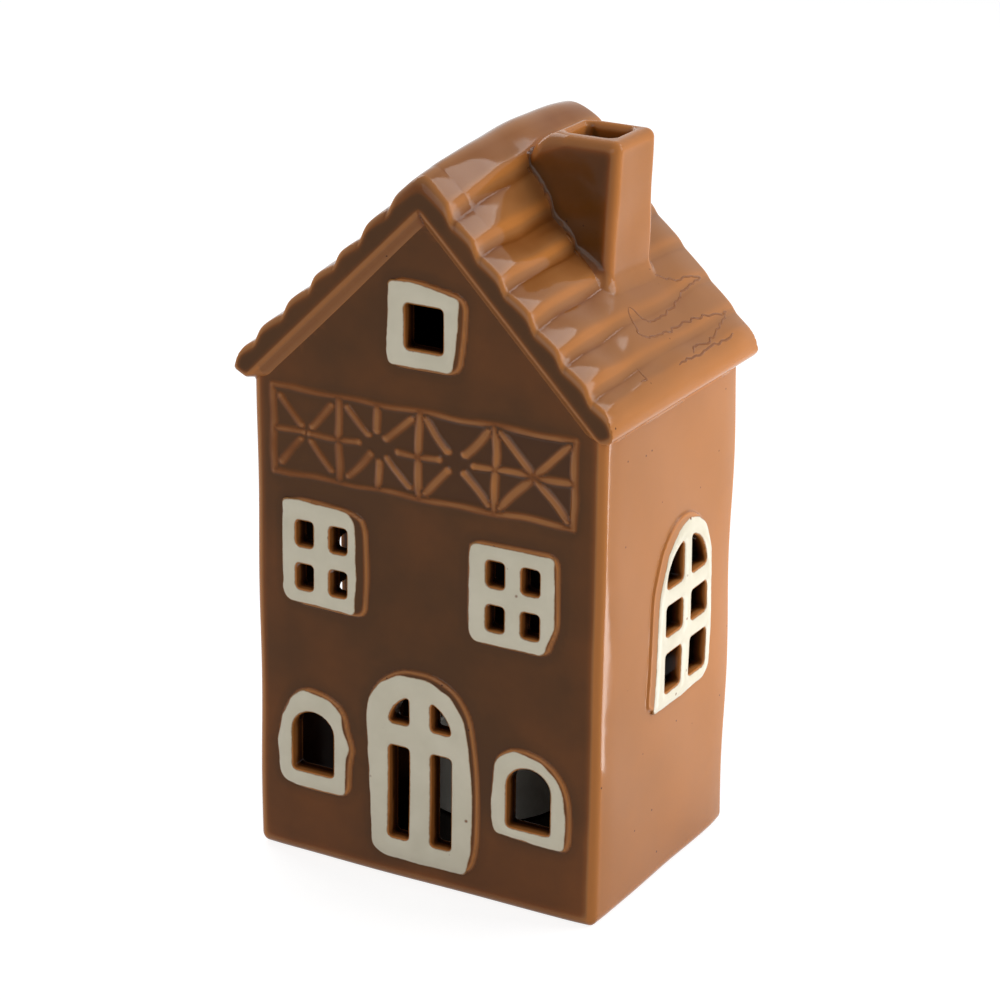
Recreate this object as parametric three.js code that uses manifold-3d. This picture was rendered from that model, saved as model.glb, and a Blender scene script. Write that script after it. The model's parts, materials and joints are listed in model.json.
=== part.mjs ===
// A glazed stoneware house that lights up from inside: a gabled townhouse with pierced
// windows, a pantiled roof and an open chimney, lit by a battery tea light that stands on
// its floor and goes in and out through an arch in the rear wall.
// Millimetres, +Z up, front facing -Y, origin under the middle of the house.
import * as THREE from 'three';
import { mergeVertices } from 'three/addons/utils/BufferGeometryUtils.js';
import Module from 'manifold-3d';

const wasm = await Module();
wasm.setup();

// House shell
const frontWidth = 100;
const sideDepth = 75.2;
const wallThickness = 4.5;
const floorThickness = 4;
const eaveHeight = 129.6;
const lutingGap = 0.3; // seam of slip between shell, roof and chimney

// Roof
const roofPitch = Math.PI / 4;
const roofThickness = 7.35;
const eaveOverhang = 3.3;
const vergeOverhang = 3;
const vergeMoulding = 3; // width of the sloped ledge under each verge
const eaveNoseHeight = 4;
const ridgeCapRun = 9;
const tileCourses = 6;
const tileStep = 1.2;
const tileCrest = 0.78; // where along a course it is highest

// Chimney
const chimneyX = 21.8;
const chimneyY = 8.2;
const chimneyTop = 192.3;
const chimneyWidth = 20.4;
const chimneyDepth = 17.5;
const chimneyFlare = 1.22; // size at the foot over size at the top
const flueWidth = 12.4;
const flueDepth = 9.6;

// Painted surrounds and the timber-frame relief on the front
const surroundRelief = 1.2;
const friezeX = -0.9;
const friezeBelowEave = 1.1;
const friezeWidth = 86.4;
const friezeHeight = 23.2;
const friezeCells = 4;
const friezeBar = 1.5;
const friezeRelief = 0.9;

// Windows and door: painted size, border, glazing bars and panes
const atticLight = { width: 19.6, height: 20.4, crown: 0, border: 4.4, bar: 0, columns: 1, rows: 1 };
const casement = { width: 23.6, height: 27.2, crown: 0, border: 4.4, bar: 4.9, columns: 2, rows: 2 };
const archedLight = { width: 21.8, height: 26.4, crown: 10.4, border: 4.8, bar: 0, columns: 1, rows: 1 };
const sideLight = { width: 31, height: 47.5, crown: 14, border: 4.3, bar: 5, columns: 2, rows: 3 };
const frontDoor = { width: 30, height: 52, crown: 15, border: 5.1, bar: 6, columns: 2, rows: 2 };

// Where they are: middles along the wall, and heights from what they line up with
const atticX = -0.5;
const atticAboveEave = 9.8;
const upperLeftX = -29.4;
const upperRightX = 25.7;
const casementBelowFrieze = 6.9;
const lowerLeftX = -32.6;
const lowerLeftSill = 20.2;
const lowerRightX = 30.7;
const lowerRightSill = 19.2;
const doorX = -1.3;
const doorSill = 6;
const doorTransom = 34.7; // middle of the transom above the sill
const sideWindowY = 8.7;
const sideWindowSill = 47.6;

// Rear arch that the tea light passes through
const rearClearance = 3;
const rearHeight = 36;
const rearCornerRadius = 18;

// Battery tea light
const tealightX = -6.5;
const tealightY = 13.5;
const tealightGap = 0.3;
const cupRadius = 19;
const cupHeight = 17;
const cupWall = 1.4;
const cupDish = 1.6;
const fitClearance = 0.3;
const flameNeckRadius = 4;
const flameBellyRadius = 5.6;
const flameHeight = 16;
const flameWall = 1.2;
const flameFlange = 1.2;
const baseRecess = 0.6;
const baseThickness = 1.6;
const capRadius = 10.8;
const capLugLength = 1.1;
const capLugWidth = 4;
const capLugHeight = 0.8;
const capTurn = Math.PI / 3;
const capPadRadius = 8;
const capPadHeight = 0.9;
const coinSlotLength = 14;
const coinSlotWidth = 1.8;
const coinSlotDepth = 0.8;
const cellRadius = 10;
const cellHeight = 3.2;
const trayWall = 1.2;
const contactThickness = 0.4;
const contactWidth = 3;
const ledRadius = 2.5;
const ledFlange = 0.4;
const ledHeight = 8.6;
const ledLeadSpacing = 2.54;
const ledLeadWidth = 0.6;
const switchTravel = 3;
const switchKnobLength = 3;
const switchKnobWidth = 1.6;
const switchFlange = 0.3; // how far the slider's flange laps the plate at its sides
const switchFlangeEnd = 1;
const switchFlangeHeight = 0.6;

// Worked-out places
const halfWidth = frontWidth / 2;
const halfDepth = sideDepth / 2;
const innerHalfWidth = halfWidth - wallThickness;
const innerHalfDepth = halfDepth - wallThickness;
const slope = Math.tan(roofPitch);
const undersideApex = eaveHeight + halfWidth * slope;
const roofRise = roofThickness / Math.cos(roofPitch);
const roofApex = undersideApex + roofRise;
const seamRise = lutingGap / Math.cos(roofPitch);
const friezeSill = eaveHeight - friezeBelowEave - friezeHeight;
const casementSill = friezeSill - casementBelowFrieze - casement.height;
const cuttingReach = 2 * frontWidth; // longer than anything that a cutter goes through

// Finishes
const finish = (color, roughness, metalness = 0) =>
  new THREE.MeshStandardMaterial({ color, roughness, metalness });
const amberGlaze = finish('#9a6236', 0.2);
const whiteEnamel = finish('#e6e3d8', 0.3);
const whitePlastic = finish('#ece8dc', 0.45);
const flamePlastic = finish('#f2e2b4', 0.35);
const ledResin = finish('#f0d89a', 0.15);
const steel = finish('#b9bcc0', 0.3, 1);
const blackPlastic = finish('#2a2a2c', 0.5);

// Directions that an outline is drawn and extruded in
const facingFront = new THREE.Matrix4().makeBasis(
  new THREE.Vector3(1, 0, 0), new THREE.Vector3(0, 0, 1), new THREE.Vector3(0, -1, 0));
const facingRight = new THREE.Matrix4().makeBasis(
  new THREE.Vector3(0, 1, 0), new THREE.Vector3(0, 0, 1), new THREE.Vector3(1, 0, 0));

const house = new THREE.Group();

function toSolid(geometry) {
  const bare = geometry.index ? geometry.toNonIndexed() : geometry.clone();
  bare.deleteAttribute('normal');
  bare.deleteAttribute('uv');
  const merged = mergeVertices(bare, 1e-4);
  return new wasm.Manifold(new wasm.Mesh({
    numProp: 3,
    vertProperties: new Float32Array(merged.attributes.position.array),
    triVerts: new Uint32Array(merged.index.array),
  }));
}

function toGeometry(solid) {
  const mesh = solid.getMesh();
  const geometry = new THREE.BufferGeometry();
  geometry.setAttribute('position', new THREE.BufferAttribute(mesh.vertProperties, mesh.numProp));
  geometry.setIndex(new THREE.BufferAttribute(mesh.triVerts, 1));
  return geometry;
}

function addPart(group, name, solid, material) {
  const mesh = new THREE.Mesh(toGeometry(solid), material);
  mesh.name = name;
  group.add(mesh);
}

function joinAll(solids) {
  return solids.reduce((joined, next) => joined.add(next));
}

function boxBetween(low, high) {
  const size = high.map((value, axis) => value - low[axis]);
  const geometry = new THREE.BoxGeometry(...size);
  geometry.translate(...low.map((value, axis) => value + size[axis] / 2));
  return toSolid(geometry);
}

function outlineOf(points) {
  return new THREE.Shape(points.map(([u, v]) => new THREE.Vector2(u, v)));
}

// Extrudes an outline by depth along the direction that it faces, starting at that place.
function slab(outline, facing, start, depth) {
  const geometry = new THREE.ExtrudeGeometry(outline, { depth, bevelEnabled: false, curveSegments: 10 });
  geometry.translate(0, 0, start);
  geometry.applyMatrix4(facing);
  return toSolid(geometry);
}

// Turns a closed profile of radius and height about Z.
function turned(profile, segments = 32) {
  const points = [...profile, profile[0]].map(([radius, z]) => new THREE.Vector2(radius, z));
  const geometry = new THREE.LatheGeometry(points, segments);
  geometry.rotateX(Math.PI / 2);
  return toSolid(geometry);
}

function disc(radius, bottom, top) {
  return turned([[0, bottom], [radius, bottom], [radius, top], [0, top]]);
}

// A rectangle on its sill with an elliptical head that rises by crown.
function archOutline(u, sill, width, height, crown) {
  const outline = new THREE.Shape();
  const half = width / 2;
  outline.moveTo(u - half, sill);
  outline.lineTo(u + half, sill);
  outline.lineTo(u + half, sill + height - crown);
  if (crown > 0) {
    outline.absellipse(u, sill + height - crown, half, crown, 0, Math.PI, false, 0);
  } else {
    outline.lineTo(u - half, sill + height);
  }
  outline.closePath();
  return outline;
}

// Every window and door on its wall
const frontLights = [
  { name: 'attic_window_surround', u: atticX, sill: eaveHeight + atticAboveEave, ...atticLight },
  { name: 'upper_left_window_surround', u: upperLeftX, sill: casementSill, ...casement },
  { name: 'upper_right_window_surround', u: upperRightX, sill: casementSill, ...casement },
  { name: 'lower_left_window_surround', u: lowerLeftX, sill: lowerLeftSill, ...archedLight },
  { name: 'lower_right_window_surround', u: lowerRightX, sill: lowerRightSill, ...archedLight },
  { name: 'front_door_surround', u: doorX, sill: doorSill, transomHeight: doorTransom, ...frontDoor },
];
const rightLight = { name: 'right_window_surround', u: sideWindowY, sill: sideWindowSill, ...sideLight };
const leftLight = { name: 'left_window_surround', u: sideWindowY, sill: sideWindowSill, ...sideLight };

// The panes of a window, as a cutter: the glazed field less its bars.
function panesOf(light, facing, start, depth) {
  const fieldWidth = light.width - 2 * light.border;
  const fieldHeight = light.height - 2 * light.border;
  const fieldSill = light.sill + light.border;
  const fieldCrown = Math.max(light.crown - light.border, 0);
  const field = archOutline(light.u, fieldSill, fieldWidth, fieldHeight, fieldCrown);
  let panes = slab(field, facing, start, depth);
  const bars = [];
  for (let column = 1; column < light.columns; column += 1) {
    const middle = light.u - fieldWidth / 2 + (fieldWidth * column) / light.columns;
    bars.push(archOutline(middle, light.sill, light.bar, light.height, 0));
  }
  for (let row = 1; row < light.rows; row += 1) {
    const evenHeight = light.border + (fieldHeight * row) / light.rows;
    const middle = light.sill + (light.transomHeight ?? evenHeight);
    bars.push(archOutline(light.u, middle - light.bar / 2, light.width, light.bar, 0));
  }
  for (const bar of bars) {
    panes = panes.subtract(slab(bar, facing, start, depth));
  }
  return panes;
}

// Cuts a wall's panes through it, and adds the painted surround on its outer face.
function pierce(wall, light, facing, outerFace, outward) {
  const cutStart = outerFace - wallThickness * 2;
  const panes = panesOf(light, facing, cutStart, wallThickness * 4);
  const plateStart = outward > 0 ? outerFace : outerFace - surroundRelief;
  const outline = archOutline(light.u, light.sill, light.width, light.height, light.crown);
  const plate = slab(outline, facing, plateStart, surroundRelief).subtract(panes);
  addPart(house, light.name, plate, whiteEnamel);
  return wall.subtract(panes);
}

// The gable wall's outline, up to the seam under the roof.
function gableOutline() {
  const shoulder = eaveHeight - seamRise;
  return outlineOf([
    [-halfWidth, 0], [halfWidth, 0], [halfWidth, shoulder],
    [0, undersideApex - seamRise], [-halfWidth, shoulder],
  ]);
}

// Raised timber-frame panel: an outer frame, posts, and a cross and rail in each cell.
function frieze() {
  const bars = [];
  const cellWidth = (friezeWidth - friezeBar) / friezeCells;
  const middleHeight = friezeSill + friezeHeight / 2;
  const addBar = (x, z, length, angle) => {
    const bar = new THREE.BoxGeometry(length, friezeRelief * 2, friezeBar);
    bar.rotateY(-angle);
    bar.translate(x, -halfDepth, z);
    bars.push(toSolid(bar));
  };
  const firstPost = friezeX - friezeWidth / 2 + friezeBar / 2;
  const innerHeight = friezeHeight - friezeBar;
  for (let post = 0; post <= friezeCells; post += 1) {
    addBar(firstPost + post * cellWidth, middleHeight, friezeHeight, Math.PI / 2);
  }
  for (const side of [-1, 1]) {
    addBar(friezeX, middleHeight + (side * innerHeight) / 2, friezeWidth, 0);
  }
  addBar(friezeX, middleHeight, friezeWidth, 0);
  for (let cell = 0; cell < friezeCells; cell += 1) {
    const middle = firstPost + (cell + 0.5) * cellWidth;
    const braceLength = Math.hypot(cellWidth, innerHeight);
    const braceAngle = Math.atan2(innerHeight, cellWidth);
    addBar(middle, middleHeight, braceLength, braceAngle);
    addBar(middle, middleHeight, braceLength, -braceAngle);
  }
  return joinAll(bars);
}

function addFrontWall() {
  let wall = slab(gableOutline(), facingFront, innerHalfDepth, wallThickness).add(frieze());
  for (const light of frontLights) {
    wall = pierce(wall, light, facingFront, halfDepth, 1);
  }
  addPart(house, 'front_wall', wall, amberGlaze);
}

// The arch is as wide as the tea light's path, mirrored about the middle of the wall.
function addRearWall() {
  const archHalfWidth = Math.abs(tealightX) + cupRadius + rearClearance;
  const springing = floorThickness + rearHeight - rearCornerRadius;
  const cornerX = archHalfWidth - rearCornerRadius;
  const arch = new THREE.Shape();
  arch.moveTo(-archHalfWidth, floorThickness);
  arch.lineTo(archHalfWidth, floorThickness);
  arch.absarc(cornerX, springing, rearCornerRadius, 0, Math.PI / 2, false);
  arch.absarc(-cornerX, springing, rearCornerRadius, Math.PI / 2, Math.PI, false);
  arch.closePath();
  const wall = slab(gableOutline(), facingFront, -halfDepth, wallThickness);
  const cutter = slab(arch, facingFront, -halfDepth - wallThickness, wallThickness * 3);
  addPart(house, 'rear_wall', wall.subtract(cutter), amberGlaze);
}

// Side walls stand between the gable walls, with their tops cut to the roof's slope.
function addSideWall(name, side, light) {
  const outline = outlineOf([
    [side * innerHalfWidth, 0], [side * halfWidth, 0], [side * halfWidth, eaveHeight - seamRise],
    [side * innerHalfWidth, eaveHeight - seamRise + wallThickness * slope],
  ]);
  const wall = slab(outline, facingFront, -innerHalfDepth, 2 * innerHalfDepth);
  addPart(house, name, pierce(wall, light, facingRight, side * halfWidth, side), amberGlaze);
}

function addFloor() {
  const low = [-innerHalfWidth, -innerHalfDepth, 0];
  const high = [innerHalfWidth, innerHalfDepth, floorThickness];
  addPart(house, 'floor', boxBetween(low, high), amberGlaze);
}

// One slope of the tiled surface from the ridge to the eave, as distance out and height.
// Each course thickens towards its lower end and turns down in a round nose.
function tiledSlope() {
  const points = [[0, roofApex]];
  const eaveTip = halfWidth + eaveOverhang;
  const courseRun = (eaveTip - ridgeCapRun) / tileCourses;
  const stepRise = tileStep / Math.cos(roofPitch);
  const nose = [[tileCrest * 0.6, 0.25], [tileCrest, 0], [1 - (1 - tileCrest) / 4, 0.3]];
  points.push([ridgeCapRun * tileCrest, roofApex - ridgeCapRun * tileCrest * slope]);
  for (let course = 0; course < tileCourses; course += 1) {
    const start = ridgeCapRun + course * courseRun;
    points.push([start, roofApex - start * slope - stepRise]);
    for (const [along, drop] of nose) {
      const out = start + along * courseRun;
      points.push([out, roofApex - out * slope - drop * stepRise]);
    }
  }
  const noseTop = roofApex - eaveTip * slope - stepRise;
  points.push([eaveTip, noseTop]);
  points.push([eaveTip, noseTop - eaveNoseHeight]);
  return points;
}

function mirrored(points) {
  return points.map(([out, z]) => [-out, z]).reverse();
}

function flueCutter() {
  const low = [chimneyX - flueWidth / 2, chimneyY - flueDepth / 2, eaveHeight];
  const high = [chimneyX + flueWidth / 2, chimneyY + flueDepth / 2, chimneyTop + wallThickness];
  return boxBetween(low, high);
}

// A ledge under both slopes of one verge, sloping from the roof's edge in to the gable wall.
function vergeLedge(end) {
  const top = undersideApex + roofRise / 2;
  const foot = undersideApex - vergeMoulding / Math.cos(roofPitch);
  const band = outlineOf([
    [0, top], [-halfWidth, top - halfWidth * slope], [-halfWidth, foot - halfWidth * slope],
    [0, foot], [halfWidth, foot - halfWidth * slope], [halfWidth, top - halfWidth * slope],
  ]);
  const depth = vergeOverhang - lutingGap;
  const start = end > 0 ? halfDepth + lutingGap : -halfDepth - vergeOverhang;
  const field = outlineOf([
    [0, foot], [-cuttingReach, foot - cuttingReach * slope], [cuttingReach, foot - cuttingReach * slope],
  ]);
  const recess = new THREE.ExtrudeGeometry(
    field, { depth, bevelThickness: depth, bevelSize: vergeMoulding, bevelSegments: 1 });
  recess.translate(0, 0, halfDepth + lutingGap + depth);
  if (end < 0) {
    recess.rotateY(Math.PI);
  }
  recess.applyMatrix4(facingFront);
  return slab(band, facingFront, start, depth).subtract(toSolid(recess));
}

function addRoof() {
  const right = tiledSlope();
  const soffit = [halfWidth, eaveHeight];
  const outline = outlineOf([
    ...right, soffit, [0, undersideApex], [-soffit[0], soffit[1]], ...mirrored(right).slice(0, -1),
  ]);
  const reach = halfDepth + vergeOverhang;
  const slopes = slab(outline, facingFront, -reach, 2 * reach);
  const roof = slopes.add(vergeLedge(1)).add(vergeLedge(-1));
  addPart(house, 'roof', roof.subtract(flueCutter()), amberGlaze);
}

// A flared square pot with a straight flue, its foot cut to sit on the tiles.
function addChimney() {
  const eaveTip = halfWidth + eaveOverhang;
  const foot = roofApex - eaveTip * slope;
  const height = chimneyTop - foot;
  const cornerRadius = chimneyWidth / Math.SQRT2;
  const flareToFoot = 1 + ((chimneyFlare - 1) * height) / (roofApex - undersideApex + chimneyX * slope);
  const pot = new THREE.CylinderGeometry(cornerRadius, cornerRadius * flareToFoot, height, 4);
  pot.rotateY(Math.PI / 4);
  pot.rotateX(Math.PI / 2);
  pot.scale(1, chimneyDepth / chimneyWidth, 1);
  pot.translate(chimneyX, chimneyY, foot + height / 2);
  const tiles = tiledSlope().map(([out, z]) => [out, z + seamRise]);
  const below = outlineOf([...mirrored(tiles).slice(0, -1), ...tiles, [eaveTip, 0], [-eaveTip, 0]]);
  const roofBelow = slab(below, facingFront, -cuttingReach / 2, cuttingReach);
  addPart(house, 'chimney', toSolid(pot).subtract(roofBelow).subtract(flueCutter()), amberGlaze);
}

// Tea light levels, up from the cup's foot
const cupBore = cupRadius - cupWall;
const plateTop = baseRecess + baseThickness;
const cellBottom = plateTop + capPadHeight + fitClearance;
const cellTop = cellBottom + cellHeight;
const lugBottom = plateTop + fitClearance;
const lugTop = lugBottom + capLugHeight;
const trayRadius = cupBore - fitClearance;
const trayUnderside = cellTop + contactThickness + 2 * fitClearance;
const trayTop = trayUnderside + trayWall;
const pocketBore = cellRadius + contactThickness + 2 * fitClearance;
const capHole = capRadius + fitClearance;
const lugReach = capRadius + capLugLength;
const flameSeat = cupHeight - cupDish - cupWall;
const flameBore = flameNeckRadius - flameWall;
const switchY = lugReach + fitClearance + switchKnobWidth / 2 + switchFlange;

const tealight = new THREE.Group();
tealight.position.set(tealightX, tealightY, floorThickness + tealightGap);
house.add(tealight);

// White cup, open below, with a dished top like melted wax and a hole for the flame.
function addCup() {
  const hole = flameNeckRadius + fitClearance;
  const dishEdge = cupBore - cupWall;
  addPart(tealight, 'tealight_cup', turned([
    [cupBore, 0], [cupRadius, 0], [cupRadius, cupHeight - cupWall / 2], [cupRadius - cupWall / 2, cupHeight],
    [dishEdge, cupHeight], [dishEdge - cupDish, cupHeight - cupDish], [hole, cupHeight - cupDish],
    [hole, flameSeat], [cupBore, flameSeat],
  ], 48), whitePlastic);
}

// Hollow flame that stands through the cup's hole, held by a flange under it.
function addFlame() {
  const flangeTop = flameSeat - fitClearance;
  const flangeRadius = flameNeckRadius + flameFlange + fitClearance;
  const neckTop = cupHeight - cupDish;
  const tip = neckTop + flameHeight;
  const bellyHeight = neckTop + flameHeight * 0.32;
  const shoulderHeight = neckTop + flameHeight * 0.68;
  addPart(tealight, 'flame_lens', turned([
    [flameBore, flangeTop - flameFlange], [flangeRadius, flangeTop - flameFlange], [flangeRadius, flangeTop],
    [flameNeckRadius, flangeTop], [flameNeckRadius, neckTop], [flameBellyRadius, bellyHeight],
    [flameBellyRadius * 0.6, shoulderHeight], [0, tip], [0, tip - flameWall * 2],
    [flameBellyRadius * 0.6 - flameWall, shoulderHeight - flameWall],
    [flameBellyRadius - flameWall, bellyHeight], [flameBore, neckTop],
  ], 24), flamePlastic);
}

// Inverted tray: a skirt down to the base plate, a pocket round the cell, and lead holes.
function addTray() {
  const skirt = trayRadius - trayWall;
  const pocketFoot = lugTop + fitClearance;
  let tray = turned([
    [0, trayUnderside], [pocketBore, trayUnderside], [pocketBore, pocketFoot],
    [pocketBore + trayWall, pocketFoot], [pocketBore + trayWall, trayUnderside],
    [skirt, trayUnderside], [skirt, plateTop], [trayRadius, plateTop], [trayRadius, trayTop], [0, trayTop],
  ], 48);
  const holeHalf = ledLeadWidth / 2 + fitClearance;
  for (const side of [-1, 1]) {
    const x = (side * ledLeadSpacing) / 2;
    tray = tray.subtract(boxBetween([x - holeHalf, -holeHalf, 0], [x + holeHalf, holeHalf, cupHeight]));
  }
  const slotHalf = contactWidth / 2 + fitClearance;
  const slotOuter = pocketBore + 2 * trayWall;
  tray = tray.subtract(boxBetween([-slotHalf, cellRadius, 0], [slotHalf, slotOuter, cellTop]));
  addPart(tealight, 'battery_tray', tray, whitePlastic);
}

// Base plate with the cap's hole, two notches that let its lugs in, and the switch slot.
function addBasePlate() {
  const plate = disc(trayRadius, baseRecess, plateTop);
  const hole = disc(capHole, 0, cupHeight);
  const notch = new THREE.BoxGeometry(
    2 * (lugReach + fitClearance), capLugWidth + 4 * fitClearance, cupHeight);
  notch.rotateZ(capTurn);
  const slotHalf = (switchKnobLength + switchTravel) / 2 + fitClearance;
  const slotSide = switchKnobWidth / 2 + fitClearance / 2;
  const slot = boxBetween([-slotHalf, switchY - slotSide, 0], [slotHalf, switchY + slotSide, cupHeight]);
  addPart(tealight, 'base_plate', plate.subtract(hole).subtract(toSolid(notch)).subtract(slot), whitePlastic);
}

// Round battery cap with a coin slot below and two lugs over the plate.
function addBatteryCap() {
  const lug = boxBetween([-lugReach, -capLugWidth / 2, lugBottom], [lugReach, capLugWidth / 2, lugTop]);
  const rim = disc(capRadius - fitClearance, plateTop, lugTop);
  const coinSlot = boxBetween(
    [-coinSlotLength / 2, -coinSlotWidth / 2, 0],
    [coinSlotLength / 2, coinSlotWidth / 2, baseRecess + coinSlotDepth]);
  const pad = disc(capPadRadius, plateTop, plateTop + capPadHeight);
  const lugEnds = lug.subtract(disc(capPadRadius, 0, cupHeight));
  const lugs = lugEnds.add(rim.subtract(disc(cellRadius, 0, cupHeight)));
  const cap = disc(capRadius, baseRecess, plateTop).subtract(coinSlot).add(pad).add(lugs);
  addPart(tealight, 'battery_cap', cap, whitePlastic);
}

function addCell() {
  const chamfer = 0.3;
  addPart(tealight, 'coin_cell', turned([
    [0, cellBottom], [cellRadius, cellBottom], [cellRadius, cellTop - chamfer],
    [cellRadius - chamfer, cellTop], [0, cellTop],
  ]), steel);
}

// Spring strips: over the cell's middle, along its side, and from the tray to the switch.
function addContacts() {
  const half = contactWidth / 2;
  const low = cellTop + fitClearance;
  const high = low + contactThickness;
  const leadX = ledLeadSpacing / 2;
  const negative = boxBetween([-cellRadius / 2, -half, low], [-leadX + ledLeadWidth / 2, half, high]);
  addPart(tealight, 'negative_contact', negative, steel);
  const inner = cellRadius + fitClearance;
  const outer = inner + contactThickness;
  const upright = boxBetween([inner, -half, cellBottom + cellHeight / 2], [outer, half, high]);
  const across = boxBetween([leadX - ledLeadWidth / 2, -half, low], [outer, half, high]);
  addPart(tealight, 'positive_contact', upright.add(across), steel);
  const bladeBottom = plateTop + 2 * fitClearance + switchFlangeHeight;
  const bladeTop = bladeBottom + contactThickness;
  const blade = boxBetween([-half, inner, bladeBottom], [half, switchY, bladeTop]);
  addPart(tealight, 'switch_contact', blade, steel);
}

function addLed() {
  const seat = trayTop;
  const shoulder = seat + ledHeight - ledRadius;
  const dome = [0.35, 0.7, 1].map((turn) => {
    const angle = (turn * Math.PI) / 2;
    return [ledRadius * Math.cos(angle), shoulder + ledRadius * Math.sin(angle)];
  });
  dome[dome.length - 1][0] = 0;
  const flange = ledRadius + ledFlange;
  addPart(tealight, 'led_bulb', turned([
    [0, seat], [flange, seat], [flange, seat + 1], [ledRadius, seat + 1], [ledRadius, shoulder], ...dome,
  ], 20), ledResin);
  const half = ledLeadWidth / 2;
  const leadBottom = cellTop + contactThickness + fitClearance;
  for (const [name, side] of [['led_cathode_lead', -1], ['led_anode_lead', 1]]) {
    const x = (side * ledLeadSpacing) / 2;
    addPart(tealight, name, boxBetween([x - half, -half, leadBottom], [x + half, half, seat]), steel);
  }
}

// Slider in its slot, off at rest, with a flange above the plate that holds it in.
function addSwitch() {
  const off = -switchTravel / 2;
  const knobHalf = switchKnobLength / 2;
  const sideHalf = switchKnobWidth / 2;
  const knob = boxBetween([off - knobHalf, switchY - sideHalf, baseRecess],
    [off + knobHalf, switchY + sideHalf, lugBottom]);
  const flange = boxBetween([off - knobHalf - switchFlangeEnd, switchY - sideHalf - switchFlange, lugBottom],
    [off + knobHalf + switchFlangeEnd, switchY + sideHalf + switchFlange, lugBottom + switchFlangeHeight]);
  addPart(tealight, 'switch_slider', knob.add(flange), blackPlastic);
}

addFrontWall();
addRearWall();
addSideWall('left_wall', -1, leftLight);
addSideWall('right_wall', 1, rightLight);
addFloor();
addRoof();
addChimney();
addCup();
addFlame();
addTray();
addBasePlate();
addBatteryCap();
addCell();
addContacts();
addLed();
addSwitch();

export default house;
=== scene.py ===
"""A glazed stoneware house that lights up from inside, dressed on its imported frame.

The stoneware is cast as fields: a function of x, y and z that is below zero inside the clay. Walls, relief,
panes and tiles are joined and cut in the field with round fillets, the way slip leaves them, and the zero
surface is meshed. The tea light's cup and flame are turned from profiles, and runs of glaze are swept along
paths. Lengths are millimetres until a mesh is made.
"""
import json
import math

import bpy
import numpy as np
from mathutils import Matrix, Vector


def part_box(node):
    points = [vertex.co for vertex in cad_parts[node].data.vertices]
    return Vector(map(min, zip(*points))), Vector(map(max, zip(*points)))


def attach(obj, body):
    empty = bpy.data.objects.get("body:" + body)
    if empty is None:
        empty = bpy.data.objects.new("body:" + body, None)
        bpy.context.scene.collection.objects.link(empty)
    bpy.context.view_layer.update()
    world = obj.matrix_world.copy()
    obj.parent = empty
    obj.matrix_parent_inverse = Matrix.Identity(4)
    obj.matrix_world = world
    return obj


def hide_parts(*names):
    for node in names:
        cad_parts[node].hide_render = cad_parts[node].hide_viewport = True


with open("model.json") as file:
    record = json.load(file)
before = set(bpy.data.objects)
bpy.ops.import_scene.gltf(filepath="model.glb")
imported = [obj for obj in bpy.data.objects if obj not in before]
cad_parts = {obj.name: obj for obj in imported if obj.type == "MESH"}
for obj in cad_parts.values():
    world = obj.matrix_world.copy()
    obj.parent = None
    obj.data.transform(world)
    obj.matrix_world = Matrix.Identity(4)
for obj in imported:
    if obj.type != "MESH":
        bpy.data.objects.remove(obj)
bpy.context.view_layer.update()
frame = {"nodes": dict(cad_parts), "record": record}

MM = 0.001
ROOT2 = math.sqrt(2)


def node_box(node):
    """Lowest and highest corner of a node, in millimetres."""
    low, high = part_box(node)
    return np.array(low) / MM, np.array(high) / MM


# House, from the frame; the roof's underside is where |x| + z is UNDERSIDE, a seam above the gable
front_high = node_box("front_wall")[1]
rear_high = node_box("rear_wall")[1]
right_low, right_high = node_box("right_wall")
floor_high = node_box("floor")[1]
roof_high = node_box("roof")[1]
chimney_low, chimney_high = node_box("chimney")
SEAM_RISE = 0.4
HALF_WIDTH = front_high[0]
HALF_DEPTH = rear_high[1]
INNER_HALF_WIDTH = right_low[0]
INNER_HALF_DEPTH = right_high[1]
FLOOR_TOP = floor_high[2]
EAVE_TIP = roof_high[0]
VERGE = roof_high[1]
RIDGE = roof_high[2]
UNDERSIDE = front_high[2] + SEAM_RISE
EAVE = UNDERSIDE - HALF_WIDTH

# Walls: their sway, the roll in towards their upright edges, their rounding, and the holes through them
WALL_SWAY = 0.16
SWAY_LENGTH = 42
WALL_ROLL = 0.5
WALL_ROLL_WIDTH = 10.0
CORNER_ROUND = 2.0
BASE_ROUND = 2.8
ROOF_LAP = 1.3
ROOM_ROUND = 2.5
ROOM_EDGE = 0.8
HOLE_REACH = 6.0
PANE_CORNER = 0.9
PANE_EDGE = 0.35
REAR_ARCH_HALF = 28.5
REAR_ARCH_HEIGHT = 36
REAR_ARCH_SHOULDER = 18
REAR_ARCH_EDGE = 1.2

# Raised plates behind the windows, and the enamel brushed on to them
RELIEF = 0.7
RELIEF_ROUND = 0.45
RELIEF_FILLET = 0.6
PLATE_CORNER = 1.6
PLATE_INSET = 0.4
PLATE_JOIN = 2.0
PAINT_HEIGHT = 1.2
PAINT_EDGE = RELIEF - 0.05
PAINT_BED = RELIEF - 0.6
PAINT_PILLOW = 2.6
PAINT_RIM = 0.15
PAINT_CORNER = 0.6
PAINT_ROUND = 0.25
BRUSH_CORNER = 0.7
BROAD_WAVER = 0.09
BROAD_LENGTH = 7
FINE_WAVER = 0.05
FINE_LENGTH = 2.2

# Drawings of flat shapes: the grid's step, and its margins round a wall or a window
DRAWING_STEP = 0.2
SHEET_MARGIN = 4
SHEET_HEAD = 10
ENAMEL_SHEET = 6

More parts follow.
